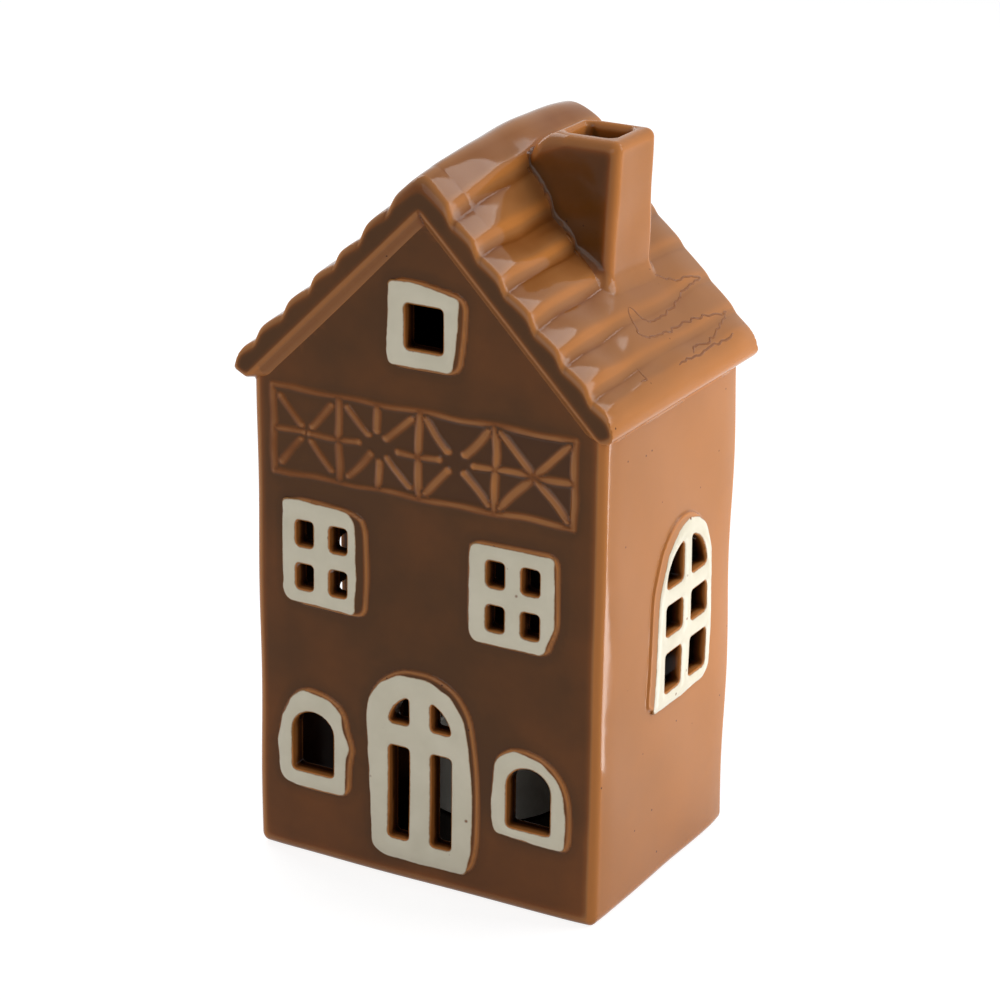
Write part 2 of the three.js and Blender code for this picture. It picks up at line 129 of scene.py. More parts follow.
# Timber-frame panel on the front: posts and rails, crosses by their share of a cell, and chips between
POSTS = (-43.7, -24.4, -1.4, 20.0, 41.9)
PANEL_FOOT = 105.9
PANEL_HEAD = 128.3
CROSS_OUTER = (0.76, 0.78, 0.84, 0.86)
CROSS_INNER = (0.18, 0.22, 0.22, 0.04)
RAIL_GAP = (0.1, 0.5, 0.45, 0.06)
UPRIGHT_CELL = 1
UPRIGHT_INNER = 0.35
CELL_MIDDLES = tuple((left + right) / 2 for left, right in zip(POSTS, POSTS[1:]))
TIMBER_WAVER = 0.3
TIMBER_LENGTH = 14
TIMBER_TILT = 0.008
STROKE_RADIUS = 1.0
STROKE_SINK = (0.91, 0.88, 0.84, 0.81)
STROKE_FADE = 0.08
STROKE_FADE_LENGTH = 9
STROKE_FILLET = 0.6
CHIP_DEPTH = (0.06, 0.14, 0.36, 0.42)
CHIP_SLOPE = 1.8

# Tiles: where the courses begin and end, out from the ridge, and how they fade, bob and wander
COURSES = (0.0, 9.0, 16.4, 23.8, 31.6, 39.3, 46.9, 54.6)
TILE_STEP = 1.3
TILE_CREST = 0.78
TILE_BLUR = 0.5
TILE_FADE = 0.38
FADE_FROM = 26
FADE_SKEW = 0.7
FADE_LENGTH = 24
TILE_BOB = 0.35
BOB_LENGTH = 30
TILE_SKIN = 0.12
SKIN_LENGTH = 18

# Ridge, verges and eaves
RIDGE_CROWN = 3.1
CROWN_MIDDLE = 18.0
CROWN_REACH = 50.0
RIDGE_DROP = 1.1
RIDGE_ROLL_FRONT = 2.0
RIDGE_ROLL_REAR = 5.5
ROLL_HELD = 7
ROLL_DYING = 12
RIDGE_END_FRONT = 1.2
RIDGE_END_REAR = 3.6
RIDGE_END_WIDTH = 9
VERGE_ROLL = 1.0
VERGE_ROLL_WIDTH = 14.0
VERGE_ROUND = 1.3
LEDGE_ROUND = 0.4
WALL_LAP = 1.0
EAVE_ROUND = 3.2
SOFFIT_DROP = 0.4
SOFFIT_RISE = 0.5
SOFFIT_ROUND = 1.6
LIP_DROP = 1.6
LIP_OUT = 0.15
LIP_ROUND = 0.15
LIP_FILLET = 1.2

# Runs of dark glaze on the right slope, as points out from the ridge and along it
RUNS = (
    ((34.1, 15.2), (37.6, 23.0), (38.1, 30.1), (39.3, 34.6), (40.0, 22.4), (41.6, 15.7), (41.8, 1.0),
     (37.6, -3.3)),
    ((37.6, -3.3), (42.8, -7.3), (44.5, -4.7), (45.0, 10.8), (45.5, 20.7), (47.2, 35.2)),
    ((47.2, 35.2), (49.0, 24.5), (50.1, 16.6), (49.2, 10.5), (51.0, 7.8)),
    ((51.3, 30.0), (51.2, 20.6), (51.2, 9.8), (50.8, -0.9)),
    ((47.7, -16.8), (50.2, -16.3), (49.7, -19.5)))
RUN_RADIUS = 0.46
RUN_SINK = 0.72
RUN_TAPER = 2
RUN_STEP = 0.35
RUN_SIDES = 8
RUN_TONE = 0.08
RUN_WAVER = 0.25
RUN_WANDER = 0.4
RUN_LENGTH = 5
RUN_RAG = 0.12
RUN_RAG_LENGTH = 2

# Chimney: the sides of its head, how they spread below it, its rounding, its luted foot and its flue
CHIMNEY_LEFT = 11.0
CHIMNEY_RIGHT = 33.0
CHIMNEY_FRONT = -1.0
CHIMNEY_REAR = 19.7
LEFT_SPREAD = 0.42
LEFT_SPREAD_FALL = 8
FRONT_SPREAD = 0.11
REAR_DRAW = 0.045
CHIMNEY_SWAY = 0.15
CHIMNEY_SWAY_LENGTH = 20
CHIMNEY_ROUND = 2.4
CHIMNEY_RIM = 2.4
RIM_DROP = 0.4
CHIMNEY_SHOULDER = 2.6
SHOULDER_FROM = 18
SHOULDER_WIDTH = 6
CHIMNEY_LET_IN = 1.6
CHIMNEY_SKIRT = 1.2
CHIMNEY_TOE = 1.4
TOE_FROM = 24
TOE_WIDTH = 7
SKIRT_END = 0.4
LUTE_RISE = 0.05
CRUMB_HEIGHT = 0.16
CRUMB_LENGTH = 2.6
CRUMB_REACH = 1.2
FLUE = ((15.6, 28.4), (4.0, 16.0))
FLUE_CORNER = 1.6
FLUE_RIM = 1.6
FLUE_FOOT = 0.6

# Glaze: how much thinner it lies and where it pools; painted light and shade by place and facing
# Painted light: how much paler faces turned to either side are, and the share of that for faces turned up
FACING_PAINTED_LIGHT = 0.19
UPWARD_SHARE = 0.65
UPWARD_GAIN = 3
CORNER_THIN = 0.16
CORNER_BAND = 4
# Faces turned up grow paler out from the ridge: so much a millimetre, even at this distance, held level
# nearer in
SLOPE_TONE_RATE = 0.001
SLOPE_TONE_EVEN = 41
SLOPE_TONE_START = 14
# Painted light thrown up from the floor: how much paler the foot is, how high that reaches and over what it
# fades
FOOT_PAINTED_LIGHT = 0.024
FOOT_HEIGHT = 30
FOOT_FADE = 24
CHIP_POOL = 0.1
CHIP_BAND = 2
# Painted shade inside the room: how dark, how far in from the walls it starts and fades in, and above what
# height
ROOM_PAINTED_SHADE = 0.38
ROOM_SKIN = 0.6
ROOM_FADE = 1.8
ROOM_FOOT = 1
ROOF_SKIN = 3
# Painted shade down the flue: how dark, how far out past the hole, and the height where it starts and fades
# in
FLUE_PAINTED_SHADE = 0.5
FLUE_SPREAD = 0.6
FLUE_SHADE_TOP = 188
FLUE_SHADE_FADE = 9

# Tea light
cup_low, cup_high = node_box("tealight_cup")
flame_low, flame_high = node_box("flame_lens")
CUP_RADIUS = (cup_high[0] - cup_low[0]) / 2
CUP_HEIGHT = cup_high[2] - cup_low[2]
CUP_WALL = 1.4
CUP_DISH = 1.6
WAX_GAP = 0.4
FLAME_PLAY = 0.2
FLAME_NECK = 4.0
FLAME_BELLY = 5.6
BELLY_SHARE = 0.32
FLAME_TAPER = 1.7
FLAME_WALL = 1.2
FLANGE_SET_IN = 0.1
FLANGE_HEIGHT = 1.2
CREASE_DEGREES = 40

# Meshing: lattice steps and margins, triangle limits, and how points are moved on to a surface
STONEWARE_STEP = 0.55
CHIMNEY_STEP = 0.4
ENAMEL_STEP = 0.3
REAR_MARGIN = 0.5
EAVE_MARGIN = 5
FOOT_MARGIN = 10
HEAD_MARGIN = (6, 6, 1)
ENAMEL_MARGIN = 3
STONEWARE_LIMIT = 190_000
ENAMEL_LIMIT = 60_000
FARTHEST_MOVE = 0.4
FLATTEST_SLOPE = 0.2
THINNING_SWELL = 0.35
NEAR_SHARE = 0.65

# Seeds of the unevenness; a window's brush takes four, from BRUSH_SEEDS times the window's place
SEEDS = dict(wall=5, tile_bob=21, tile_skin=22, chimney=31, crumbs=33, timber_u=71, timber_v=72, stroke=73,
             run_broad=81, run_fine=82, run_along=83)
BRUSH_SEEDS = 11

# Camera, solved from the photograph, in degrees and millimetres; its focal length is in sensor widths
CAMERA_AZIMUTH = 28.90
CAMERA_ELEVATION = 20.37
CAMERA_ROLL = 0.76
CAMERA_DISTANCE = 845.9
CAMERA_TARGET = (0.73, 0, 93.81)
SENSOR_WIDTH = 36
FOCAL_LENGTH = 3.3

# Studio, in metres and watts
FLOOR_HALF = 6.0
LAMPS = {
    "key_softbox": dict(spot=(0.69, 0.4, 0.48), aim=(0, 0, 0.1), size=(0.5, 0.5), watts=3.75),
    "back_softbox": dict(spot=(0.5, 0.78, 1.05), aim=(0, 0, 0.15), size=(0.5, 0.5), watts=3.2),
    "left_softbox": dict(spot=(-0.75, 0.42, 0.75), aim=(0, 0, 0.1), size=(0.6, 0.6), watts=4.0),
    "floor_strip": dict(spot=(0.215, 0.148, 0.004), aim=(0.211, 0.151, 0.504), size=(0.32, 0.06), watts=0.36),
    "fill_softbox": dict(spot=(0.05, -1.05, 0.62), aim=(0, 0, 0.1), size=(0.8, 0.8), watts=3.8),
}


def round_max(a, b, radius):
    """Where two fields are both inside, with the edge between them rounded to that radius."""
    u = np.maximum(a + radius, 0)
    v = np.maximum(b + radius, 0)
    return np.minimum(np.maximum(a, b), -radius) + np.sqrt(u * u + v * v)


def round_min(a, b, radius):
    """Two fields joined, with a round fillet of that radius in the corner between them."""
    return -round_max(-a, -b, radius)


def ease(share):
    """A share from 0 to 1 that sets out and arrives level: three squares less two cubes."""
    return share * share * (3 - 2 * share)


def ripple(x, y, z, length, seed):
    """Smooth unevenness between about -1 and 1: six sine waves of about that length, in seeded ways."""
    draw = np.random.RandomState(seed)
    total = 0
    for _ in range(6):
        way = draw.normal(size=3)
        way *= 2 * math.pi / (length * draw.uniform(0.7, 1.4) * np.linalg.norm(way))
        phase = draw.uniform(0, 2 * math.pi)
        total = total + np.sin(way[0] * x + way[1] * y + way[2] * z + phase)
    return total / 2.6


def soften(points, radius):
    """A closed outline with its corners cut three times, each cut half as deep as the last, and none deeper
    than 0.42 of a side."""
    ring = np.array(points, float)
    for cut in (radius, radius / 2, radius / 4):
        ahead = np.roll(ring, -1, axis=0) - ring
        share = np.minimum(cut / np.linalg.norm(ahead, axis=1), 0.42)[:, None]
        ring = np.stack([ring + ahead * share, ring + ahead * (1 - share)], axis=1).reshape(-1, 2)
    return ring


def segment_distance(u, v, a, b):
    """Distance to the straight line from a to b."""
    du, dv = b[0] - a[0], b[1] - a[1]
    share = np.clip(((u - a[0]) * du + (v - a[1]) * dv) / (du * du + dv * dv), 0, 1)
    return np.hypot(u - a[0] - share * du, v - a[1] - share * dv)


def outline_distance(u, v, ring):
    """Signed distance to a closed outline: to its nearest side, and below zero where a line along u crosses
    it an odd number of times."""
    nearest = np.inf
    inside = False
    for a, b in zip(ring, np.roll(ring, -1, axis=0)):
        nearest = np.minimum(nearest, segment_distance(u, v, a, b))
        spans = (v < a[1]) != (v < b[1])
        rise = b[1] - a[1]
        crossed = u < a[0] + (b[0] - a[0]) * (v - a[1]) / (rise if rise else 1)
        inside = inside ^ (spans & crossed)
    return np.where(inside, -nearest, nearest)


def arch(u, v, half, height, crown, corner):
    """Signed distance to a rectangle on v = 0 with an elliptical head that rises by crown."""
    spring = height - crown
    if crown <= 0:
        return round_max(np.abs(u) - half, np.abs(v - height / 2) - height / 2, corner)
    lower = round_max(np.abs(u) - half, -v, corner)
    rise = np.maximum(v - spring, 0)
    level = np.hypot(u / half, rise / crown)
    slope = np.hypot(u / half**2, rise / crown**2)
    head = (level - 1) * level / np.maximum(slope, 1e-6)
    return np.where(v > spring, head, lower)


# Windows: wall, head, border and bars of the panes, the plate's reach past the paint, and the paint's outline
WINDOWS = {
    "attic_window_surround": dict(
        wall="front", crown=0, border=4.5, bar=0, columns=1, rows=1, shift=(0.6, 0.1), past=(1.8, 0.0),
        paint=[(-10.0, 160.9), (-3.3, 161.3), (10.3, 159.0), (9.8, 150), (8.2, 139.4), (-9.8, 139.2),
               (-10.6, 142)]),
    "upper_left_window_surround": dict(
        wall="front", crown=0, border=4.4, bar=4.9, columns=2, rows=2, shift=(0.0, -0.5), past=(2.9, -0.2),
        paint=[(-41.0, 98.8), (-35.7, 99.3), (-21.3, 98.4), (-19.4, 95.8), (-18.9, 82), (-19.4, 70.8),
               (-27, 71.2), (-39.2, 71.4), (-41.0, 74)]),
    "upper_right_window_surround": dict(
        wall="front", crown=0, border=4.4, bar=4.9, columns=2, rows=2, shift=(0.0, -0.4), past=(0.6, 0.2),
        paint=[(13.9, 97.7), (37.5, 98.0), (37.7, 79), (35.6, 74.6), (34.9, 71.4), (14.6, 71.4),
               (13.1, 74.3), (13.2, 95)]),
    "lower_left_window_surround": dict(
        wall="front", crown=10.4, border=4.8, bar=0, columns=1, rows=1, shift=(0.3, -0.6), past=(1.0, 0.2),
        paint=[(-35.2, 47.6), (-38.8, 44.6), (-41.9, 38.4), (-43.2, 30.7), (-42.5, 22.8), (-41, 20.6),
               (-38, 19.9), (-31.6, 19.6), (-22.5, 19.9), (-22.2, 30.4), (-21.0, 33.2), (-23.2, 38.6),
               (-23.5, 43), (-27.4, 46.2)]),
    "lower_right_window_surround": dict(
        wall="front", crown=10.4, border=4.8, bar=0, columns=1, rows=1, shift=(0.3, -0.6), past=(0.9, 0.5),
        paint=[(21.1, 40.2), (23.2, 43.0), (27.0, 44.6), (31.5, 43.9), (34.8, 43.0), (38.8, 39.8),
               (41.1, 35.3), (41.8, 29.2), (41.5, 20.1), (39.2, 19.7), (31.2, 20.1), (21.6, 20.7),
               (20.4, 23.9), (20.4, 31)]),
    "front_door_surround": dict(
        wall="front", crown=15, border=5.9, bar=6.6, columns=2, rows=2, shift=(0.9, 0.3), past=(1.4, 1.4),
        transom=34.7,
        paint=[(-6.9, 57.9), (-11.9, 54.8), (-15.3, 50.2), (-16.5, 45), (-16.1, 37), (-15.4, 23.1),
               (-14.3, 8.4), (-12, 6.6), (-5, 6.2), (13.1, 6.2), (14.9, 13), (15.2, 24.4), (14.9, 34.4),
               (14.0, 42), (12.6, 49.5), (8.4, 55.4), (1.6, 58.2)]),
    "right_window_surround": dict(
        wall="right", crown=14, border=4.3, bar=5, columns=2, rows=3, shift=(-0.6, 0.1), past=(-2.9, 1.9),
        paint=[(-9.6, 48.2), (-8.8, 57), (-7.6, 79), (-3.2, 89.8), (2.6, 94.8), (8.5, 96.2), (14, 95.0),
               (19.5, 91), (22.6, 84), (22.7, 75), (22.4, 60), (22.0, 50.6), (19.2, 48.3), (6, 47.7)]),
}
WINDOWS["left_window_surround"] = dict(WINDOWS["right_window_surround"], wall="left")


def width_axis(node):
    """The axis along which a window is wide: x on the front, y on the sides."""
    return 0 if WINDOWS[node]["wall"] == "front" else 1


def panes(node, u, v):
    """Distance to the panes of one window: its arched field less its glazing bars, with rounded corners."""
    made = WINDOWS[node]
    low, high = node_box(node)
    along = width_axis(node)
    border = made["border"]
    middle = (low[along] + high[along]) / 2 + made["shift"][0]
    sill = low[2] + made["shift"][1]
    half = (high[along] - low[along]) / 2 - border
    tall = high[2] - low[2] - 2 * border
    field = arch(u - middle, v - sill - border, half, tall, max(made["crown"] - border, 0), PANE_CORNER)
    for column in range(1, made["columns"]):
        at = middle - half + 2 * half * column / made["columns"]
        field = round_max(field, made["bar"] / 2 - np.abs(u - at), PANE_CORNER)
    for row in range(1, made["rows"]):
        at = sill + made.get("transom", border + tall * row / made["rows"])
        field = round_max(field, made["bar"] / 2 - np.abs(v - at), PANE_CORNER)
    return field


def brush_waver(u, v, seed):
    """How far a brushed edge strays: a broad ripple and a fine one."""
    broad = BROAD_WAVER * ripple(u, v, 0, BROAD_LENGTH, seed)
    return broad + FINE_WAVER * ripple(u, v, 0, FINE_LENGTH, seed + 1)


def paint(node, u, v):
    """Distance to the painted outline of one window, with the waver of a brush."""
    seed = BRUSH_SEEDS * sorted(WINDOWS).index(node)
    ring = soften(WINDOWS[node]["paint"], BRUSH_CORNER)
    return outline_distance(u + brush_waver(u, v, seed), v + brush_waver(u, v, seed + 2), ring)


def plate(node, u, v):
    """Distance to the raised plate of one window: just inside the painted outline, and carried past it."""
    past_u, past_v = WINDOWS[node]["past"]
    ring = soften(WINDOWS[node]["paint"], PLATE_CORNER)
    here = outline_distance(u, v, ring) + PLATE_INSET
    carried = outline_distance(u - past_u, v - past_v, ring)
    return round_min(here, carried, PLATE_JOIN)


def timber_lines():
    """The strokes of the timber-frame panel, each from one point to another: two rails, the posts, and in
    each cell a middle rail with a gap and the four arms of a cross, with two uprights in one cell."""
    middle = (PANEL_FOOT + PANEL_HEAD) / 2
    reach = (PANEL_HEAD - PANEL_FOOT) / 2
    lines = [((POSTS[0], end), (POSTS[-1], end)) for end in (PANEL_FOOT, PANEL_HEAD)]
    lines += [((post, PANEL_FOOT), (post, PANEL_HEAD)) for post in POSTS]
    for cell, (left, right) in enumerate(zip(POSTS, POSTS[1:])):
        centre = (left + right) / 2
        half = (right - left) / 2
        outer = CROSS_OUTER[cell]
        inner = CROSS_INNER[cell]
        for side in (-1, 1):
            lines.append(((centre + side * half, middle), (centre + side * half * RAIL_GAP[cell], middle)))
            if cell == UPRIGHT_CELL:
                stub = middle + side * UPRIGHT_INNER * reach
                lines.append(((centre, middle + side * reach), (centre, stub)))
            for rise in (-1, 1):
                lines.append(((centre + side * half * outer, middle + rise * reach * outer),
                              (centre + side * half * inner, middle + rise * reach * inner)))
    return lines


def timber_strokes(u, v):
    """Distance to the nearest stroke of the timber-frame panel, wavering as if cut by hand."""
    u = u + TIMBER_WAVER * ripple(u, v, 0, TIMBER_LENGTH, SEEDS["timber_u"])
    v = v + TIMBER_WAVER * ripple(u, v, 0, TIMBER_LENGTH, SEEDS["timber_v"]) - TIMBER_TILT * u
    return np.minimum.reduce([segment_distance(u, v, a, b) for a, b in timber_lines()])


def timber_chips(u, v):
    """Depth of the chips between the strokes of the panel: none at a stroke, and full a little way off it."""
    depth = np.interp(u, CELL_MIDDLES, CHIP_DEPTH)
    within = np.minimum(np.minimum(u - POSTS[0], POSTS[-1] - u), np.minimum(v - PANEL_FOOT, PANEL_HEAD - v))
    off = np.clip(np.minimum(within, timber_strokes(u, v)) / CHIP_SLOPE, 0, 1)
    return depth * ease(off)


def drawn(shape, low, high):
    """A flat shape's distances, worked out once on a fine grid and then read between its points."""
    u = np.arange(low[0], high[0], DRAWING_STEP)
    v = np.arange(low[1], high[1], DRAWING_STEP)
    grid = shape(u[:, None], v[None, :]).astype(np.float32)

    def read(at_u, at_v):
        # The clip stops a hair short of the last point, so that a next point always exists
        across = np.clip((at_u - low[0]) / DRAWING_STEP, 0, len(u) - 1.001)
        up = np.clip((at_v - low[1]) / DRAWING_STEP, 0, len(v) - 1.001)
        across, up = np.broadcast_arrays(across, up)
        i, j = across.astype(int), up.astype(int)
        s, t = across - i, up - j
        return ((1 - s) * ((1 - t) * grid[i, j] + t * grid[i, j + 1])
                + s * ((1 - t) * grid[i + 1, j] + t * grid[i + 1, j + 1]))

    return read


def nearest_of(shape, wall):
    """The nearest of one shape over the windows of a wall."""
    nodes = [node for node in WINDOWS if WINDOWS[node]["wall"] == wall]
    return lambda u, v: np.minimum.reduce([shape(node, u, v) for node in nodes])


def sheet_for(half, top):
    """Lowest and highest corner of a drawing that covers a wall."""
    return (-half - SHEET_MARGIN, -SHEET_MARGIN), (half + SHEET_MARGIN, top + SHEET_HEAD)


front_sheet = sheet_for(HALF_WIDTH, UNDERSIDE)
side_sheet = sheet_for(HALF_DEPTH, EAVE)
front_panes = drawn(nearest_of(panes, "front"), *front_sheet)
front_plates = drawn(nearest_of(plate, "front"), *front_sheet)
front_strokes = drawn(timber_strokes, *front_sheet)
front_chips = drawn(timber_chips, *front_sheet)
side_panes = drawn(nearest_of(panes, "right"), *side_sheet)
side_plates = drawn(nearest_of(plate, "right"), *side_sheet)


def wall_outs(x, y, z):
    """How far out of the front or rear wall, and of a side wall, a point lies. Walls sway as cast clay does,
    and roll in towards their upright edges."""
    sway = WALL_SWAY * ripple(x, y, z, SWAY_LENGTH, SEEDS["wall"])
    across = np.abs(x) - HALF_WIDTH
    along = np.abs(y) - HALF_DEPTH
    roll_across = WALL_ROLL * np.clip(1 + along / WALL_ROLL_WIDTH, 0, 1) ** 2
    roll_along = WALL_ROLL * np.clip(1 + across / WALL_ROLL_WIDTH, 0, 1) ** 2
    return along + sway + roll_along, across + sway + roll_across


def raise_plates(block, outline, out):
    """Raised plates on a wall: inside the outline and lower than the relief, filleted into the wall."""
    plates = round_max(outline, out - RELIEF, RELIEF_ROUND)
    return round_min(block, plates, RELIEF_FILLET)


def raise_strokes(block, x, y, z, out):
    """The panel's strokes as round bars along the front, sunk into the wall a little more or less by cell."""
    fade = STROKE_FADE * ripple(x, 0, z, STROKE_FADE_LENGTH, SEEDS["stroke"])
    sink = np.interp(x, CELL_MIDDLES, STROKE_SINK) + fade
    bars = np.sqrt(front_strokes(x, z) ** 2 + (out + sink) ** 2) - STROKE_RADIUS
    return round_min(block, np.maximum(bars, y), STROKE_FILLET)


def rear_arch(x, z):
    """Distance to the round-shouldered arch in the rear wall."""
    over = round_max(np.abs(x) - REAR_ARCH_HALF, z - FLOOR_TOP - REAR_ARCH_HEIGHT, REAR_ARCH_SHOULDER)
    return np.maximum(over, FLOOR_TOP - z)


def shell_field(x, y, z):
    """The cast shell: a rounded block under the roof's slope, with relief raised on its walls, hollowed, and
    pierced by its panes and rear arch."""
    along, across = wall_outs(x, y, z)
    chipped = along + np.where(y < 0, front_chips(x, z), 0)
    block = round_max(round_max(across, chipped, CORNER_ROUND), -z, BASE_ROUND)
    block = np.maximum(block, (np.abs(x) + z - UNDERSIDE - ROOF_LAP) / ROOT2)
    block = raise_strokes(block, x, y, z, along)
    block = raise_plates(block, np.maximum(front_plates(x, z), y), along)
    block = raise_plates(block, side_plates(y, z), across)
    inner = round_max(np.abs(x) - INNER_HALF_WIDTH, np.abs(y) - INNER_HALF_DEPTH, ROOM_ROUND)
    shell = round_max(block, -round_max(inner, FLOOR_TOP - z, ROOM_ROUND), ROOM_EDGE)
    front_holes = np.maximum(front_panes(x, z), y + INNER_HALF_DEPTH - HOLE_REACH)
    side_holes = np.maximum(side_panes(y, z), INNER_HALF_WIDTH - HOLE_REACH - np.abs(x))
    rear_hole = np.maximum(rear_arch(x, z), INNER_HALF_DEPTH - HOLE_REACH - y)
    shell = round_max(shell, -front_holes, PANE_EDGE)
    shell = round_max(shell, -side_holes, PANE_EDGE)
    return round_max(shell, -rear_hole, REAR_ARCH_EDGE)


def tile_profile(out):
    """How far a tile lies under the crests, by distance out from the ridge: each course rises slowly to its
    crest and rolls over to its lower end."""
    starts = np.array(COURSES)
    course = np.clip(np.searchsorted(starts, out, side="right") - 1, 0, len(starts) - 2)
    share = np.clip((out - starts[course]) / (starts[course + 1] - starts[course]), 0, 1)
    climb = np.maximum(1 - share / TILE_CREST, 0) ** 1.5
    climb = np.where(course == 0, 0, climb)
    roll = np.maximum((share - TILE_CREST) / (1 - TILE_CREST), 0) ** 2
    return TILE_STEP * np.where(share < TILE_CREST, climb, roll)


def tile_depth(out, y):
    """The tiles' profile blurred as glaze blurs it, and fading from the front of the roof to its rear."""
    blurred = sum(tile_profile(out + TILE_BLUR * step) for step in (-1, -0.5, 0, 0.5, 1)) / 5
    kept = np.clip((FADE_FROM - FADE_SKEW * out - y) / FADE_LENGTH, 0, 1)
    return blurred * (TILE_FADE + (1 - TILE_FADE) * ease(kept))


def roof_top(x, y, z):
    """Distance above the tiles. The ridge is a round roll, crowned along its length and fatter to the rear,
    that dies into the slopes, and the tiles roll down to the verges."""
    crown = RIDGE_CROWN * np.maximum(1 - ((y - CROWN_MIDDLE) / CROWN_REACH) ** 2, 0) - RIDGE_DROP
    fat = RIDGE_ROLL_FRONT + (RIDGE_ROLL_REAR - RIDGE_ROLL_FRONT) * np.clip(0.5 + 0.5 * y / VERGE, 0, 1)
    dying = np.clip((np.abs(x) - ROLL_HELD) / ROLL_DYING, 0, 1)
    level = np.sqrt(x * x + fat * fat) - fat + ease(dying) * (crown + fat)
    roll = VERGE_ROLL * np.clip((np.abs(y) - VERGE + VERGE_ROLL_WIDTH) / VERGE_ROLL_WIDTH, 0, 2) ** 2
    plain = (level + z - crown - RIDGE) / ROOT2 + roll
    bob = TILE_BOB * ripple(x, y, z, BOB_LENGTH, SEEDS["tile_bob"])
    skin = TILE_SKIN * ripple(x, y, z, SKIN_LENGTH, SEEDS["tile_skin"])
    return plain + tile_depth(np.abs(x) + bob, y) + skin


def chimney_block(x, y, z):
    """A square pot that widens to its foot, to the left at its head and to the front all the way down. Its
    rim is round, and its left shoulder rounder still."""
    fall = chimney_high[2] - z
    left = CHIMNEY_LEFT - LEFT_SPREAD * np.minimum(fall, LEFT_SPREAD_FALL)
    front = CHIMNEY_FRONT - FRONT_SPREAD * fall
    rear = CHIMNEY_REAR - REAR_DRAW * fall
    across = np.maximum(left - x, x - CHIMNEY_RIGHT)
    along = np.maximum(front - y, y - rear)
    sway = CHIMNEY_SWAY * ripple(x, y, z, CHIMNEY_SWAY_LENGTH, SEEDS["chimney"])
    sides = round_max(across, along, CHIMNEY_ROUND) + sway
    rim = CHIMNEY_RIM + CHIMNEY_SHOULDER * np.clip((SHOULDER_FROM - x) / SHOULDER_WIDTH, 0, 1)
    return round_max(sides, RIM_DROP - fall, rim)


def flue(x, y):
    """Distance to the upright hole down through the chimney and the roof."""
    (left, right), (near, far) = FLUE
    across = np.abs(x - (left + right) / 2) - (right - left) / 2
    along = np.abs(y - (near + far) / 2) - (far - near) / 2
    return round_max(across, along, FLUE_CORNER)


def roof_field(x, y, z):
    """Two tiled slopes with rounded eaves and verges, a sloped ledge under each verge, a lip on the side
    walls, and the flue's hole."""
    top = roof_top(x, y, z)
    level = np.abs(x) + z
    end = np.abs(y) - VERGE
    bevel = (end - (level - UNDERSIDE) / ROOT2) / ROOT2
    ledge = np.maximum(bevel, HALF_DEPTH - WALL_LAP - np.abs(y))
    ridge_end = np.where(y > 0, RIDGE_END_REAR, RIDGE_END_FRONT) * np.exp(-((x / RIDGE_END_WIDTH) ** 2))
    slab = round_max(top, end, VERGE_ROUND + ridge_end)
    slab = round_max(slab, np.minimum((UNDERSIDE - level) / ROOT2, ledge), LEDGE_ROUND)
    nose = round_max(np.abs(x) - EAVE_TIP, top, EAVE_ROUND)
    # The sloping soffit's heights times 0.9 are about its true distances
    soffit = (EAVE - SOFFIT_DROP + SOFFIT_RISE * np.maximum(np.abs(x) - HALF_WIDTH, 0) - z) * 0.9
    roof = round_max(np.maximum(slab, nose), soffit, SOFFIT_ROUND)
    along, across = wall_outs(x, y, z)
    walls = round_max(across, along, CORNER_ROUND)
    lip = round_max(walls - LIP_OUT, np.abs(z - EAVE) - LIP_DROP, LIP_ROUND)
    roof = round_min(roof, np.maximum(lip, HALF_WIDTH - WALL_LAP - np.abs(x)), LIP_FILLET)
    return round_max(roof, -flue(x, y), FLUE_FOOT)


def chimney_field(x, y, z):
    """The pot above the tiles, let a little into them, with its flue. Its skirt of luting clay is rough to
    the left, and wider and smooth to the right."""
    top = roof_top(x, y, z)
    block = chimney_block(x, y, z)
    rightward = np.clip((x - TOE_FROM) / TOE_WIDTH, 0, 1)
    rough = CRUMB_HEIGHT * (1 - rightward) * ripple(x, y, z, CRUMB_LENGTH, SEEDS["crumbs"])
    crumbs = LUTE_RISE + rough * np.exp(-((top / CRUMB_REACH) ** 2))
    skirt = CHIMNEY_SKIRT + CHIMNEY_TOE * rightward
    pot = np.maximum(round_min(block, top + crumbs, skirt), -top - CHIMNEY_LET_IN)
    pot = np.maximum(pot, block - skirt - SKIRT_END)
    return round_max(pot, -flue(x, y), FLUE_RIM)


def chimney_on_roof(x, y, z):
    """The chimney and the roof as one body."""
    return np.minimum(chimney_field(x, y, z), roof_field(x, y, z))


def surround_field(node):
    """White enamel on a raised plate: inside the painted outline and clear of the panes, thinning to its
    edges."""
    low, high = node_box(node)
    wide = width_axis(node)
    sheet_low = (low[wide] - ENAMEL_SHEET, low[2] - ENAMEL_SHEET)
    sheet_high = (high[wide] + ENAMEL_SHEET, high[2] + ENAMEL_SHEET)
    region = drawn(lambda u, v: round_max(paint(node, u, v), PAINT_RIM - panes(node, u, v), PAINT_CORNER),
                   sheet_low, sheet_high)

    def field(x, y, z):
        out = wall_outs(x, y, z)[wide]
        within = region((x, y)[wide], z)
        rise = 1 - np.clip(1 + within / PAINT_PILLOW, 0, 1) ** 2
        height = PAINT_EDGE + (PAINT_HEIGHT - PAINT_EDGE) * rise
        skin = round_max(within, out - height, PAINT_ROUND)
        return np.maximum(skin, PAINT_BED - out)

    return field


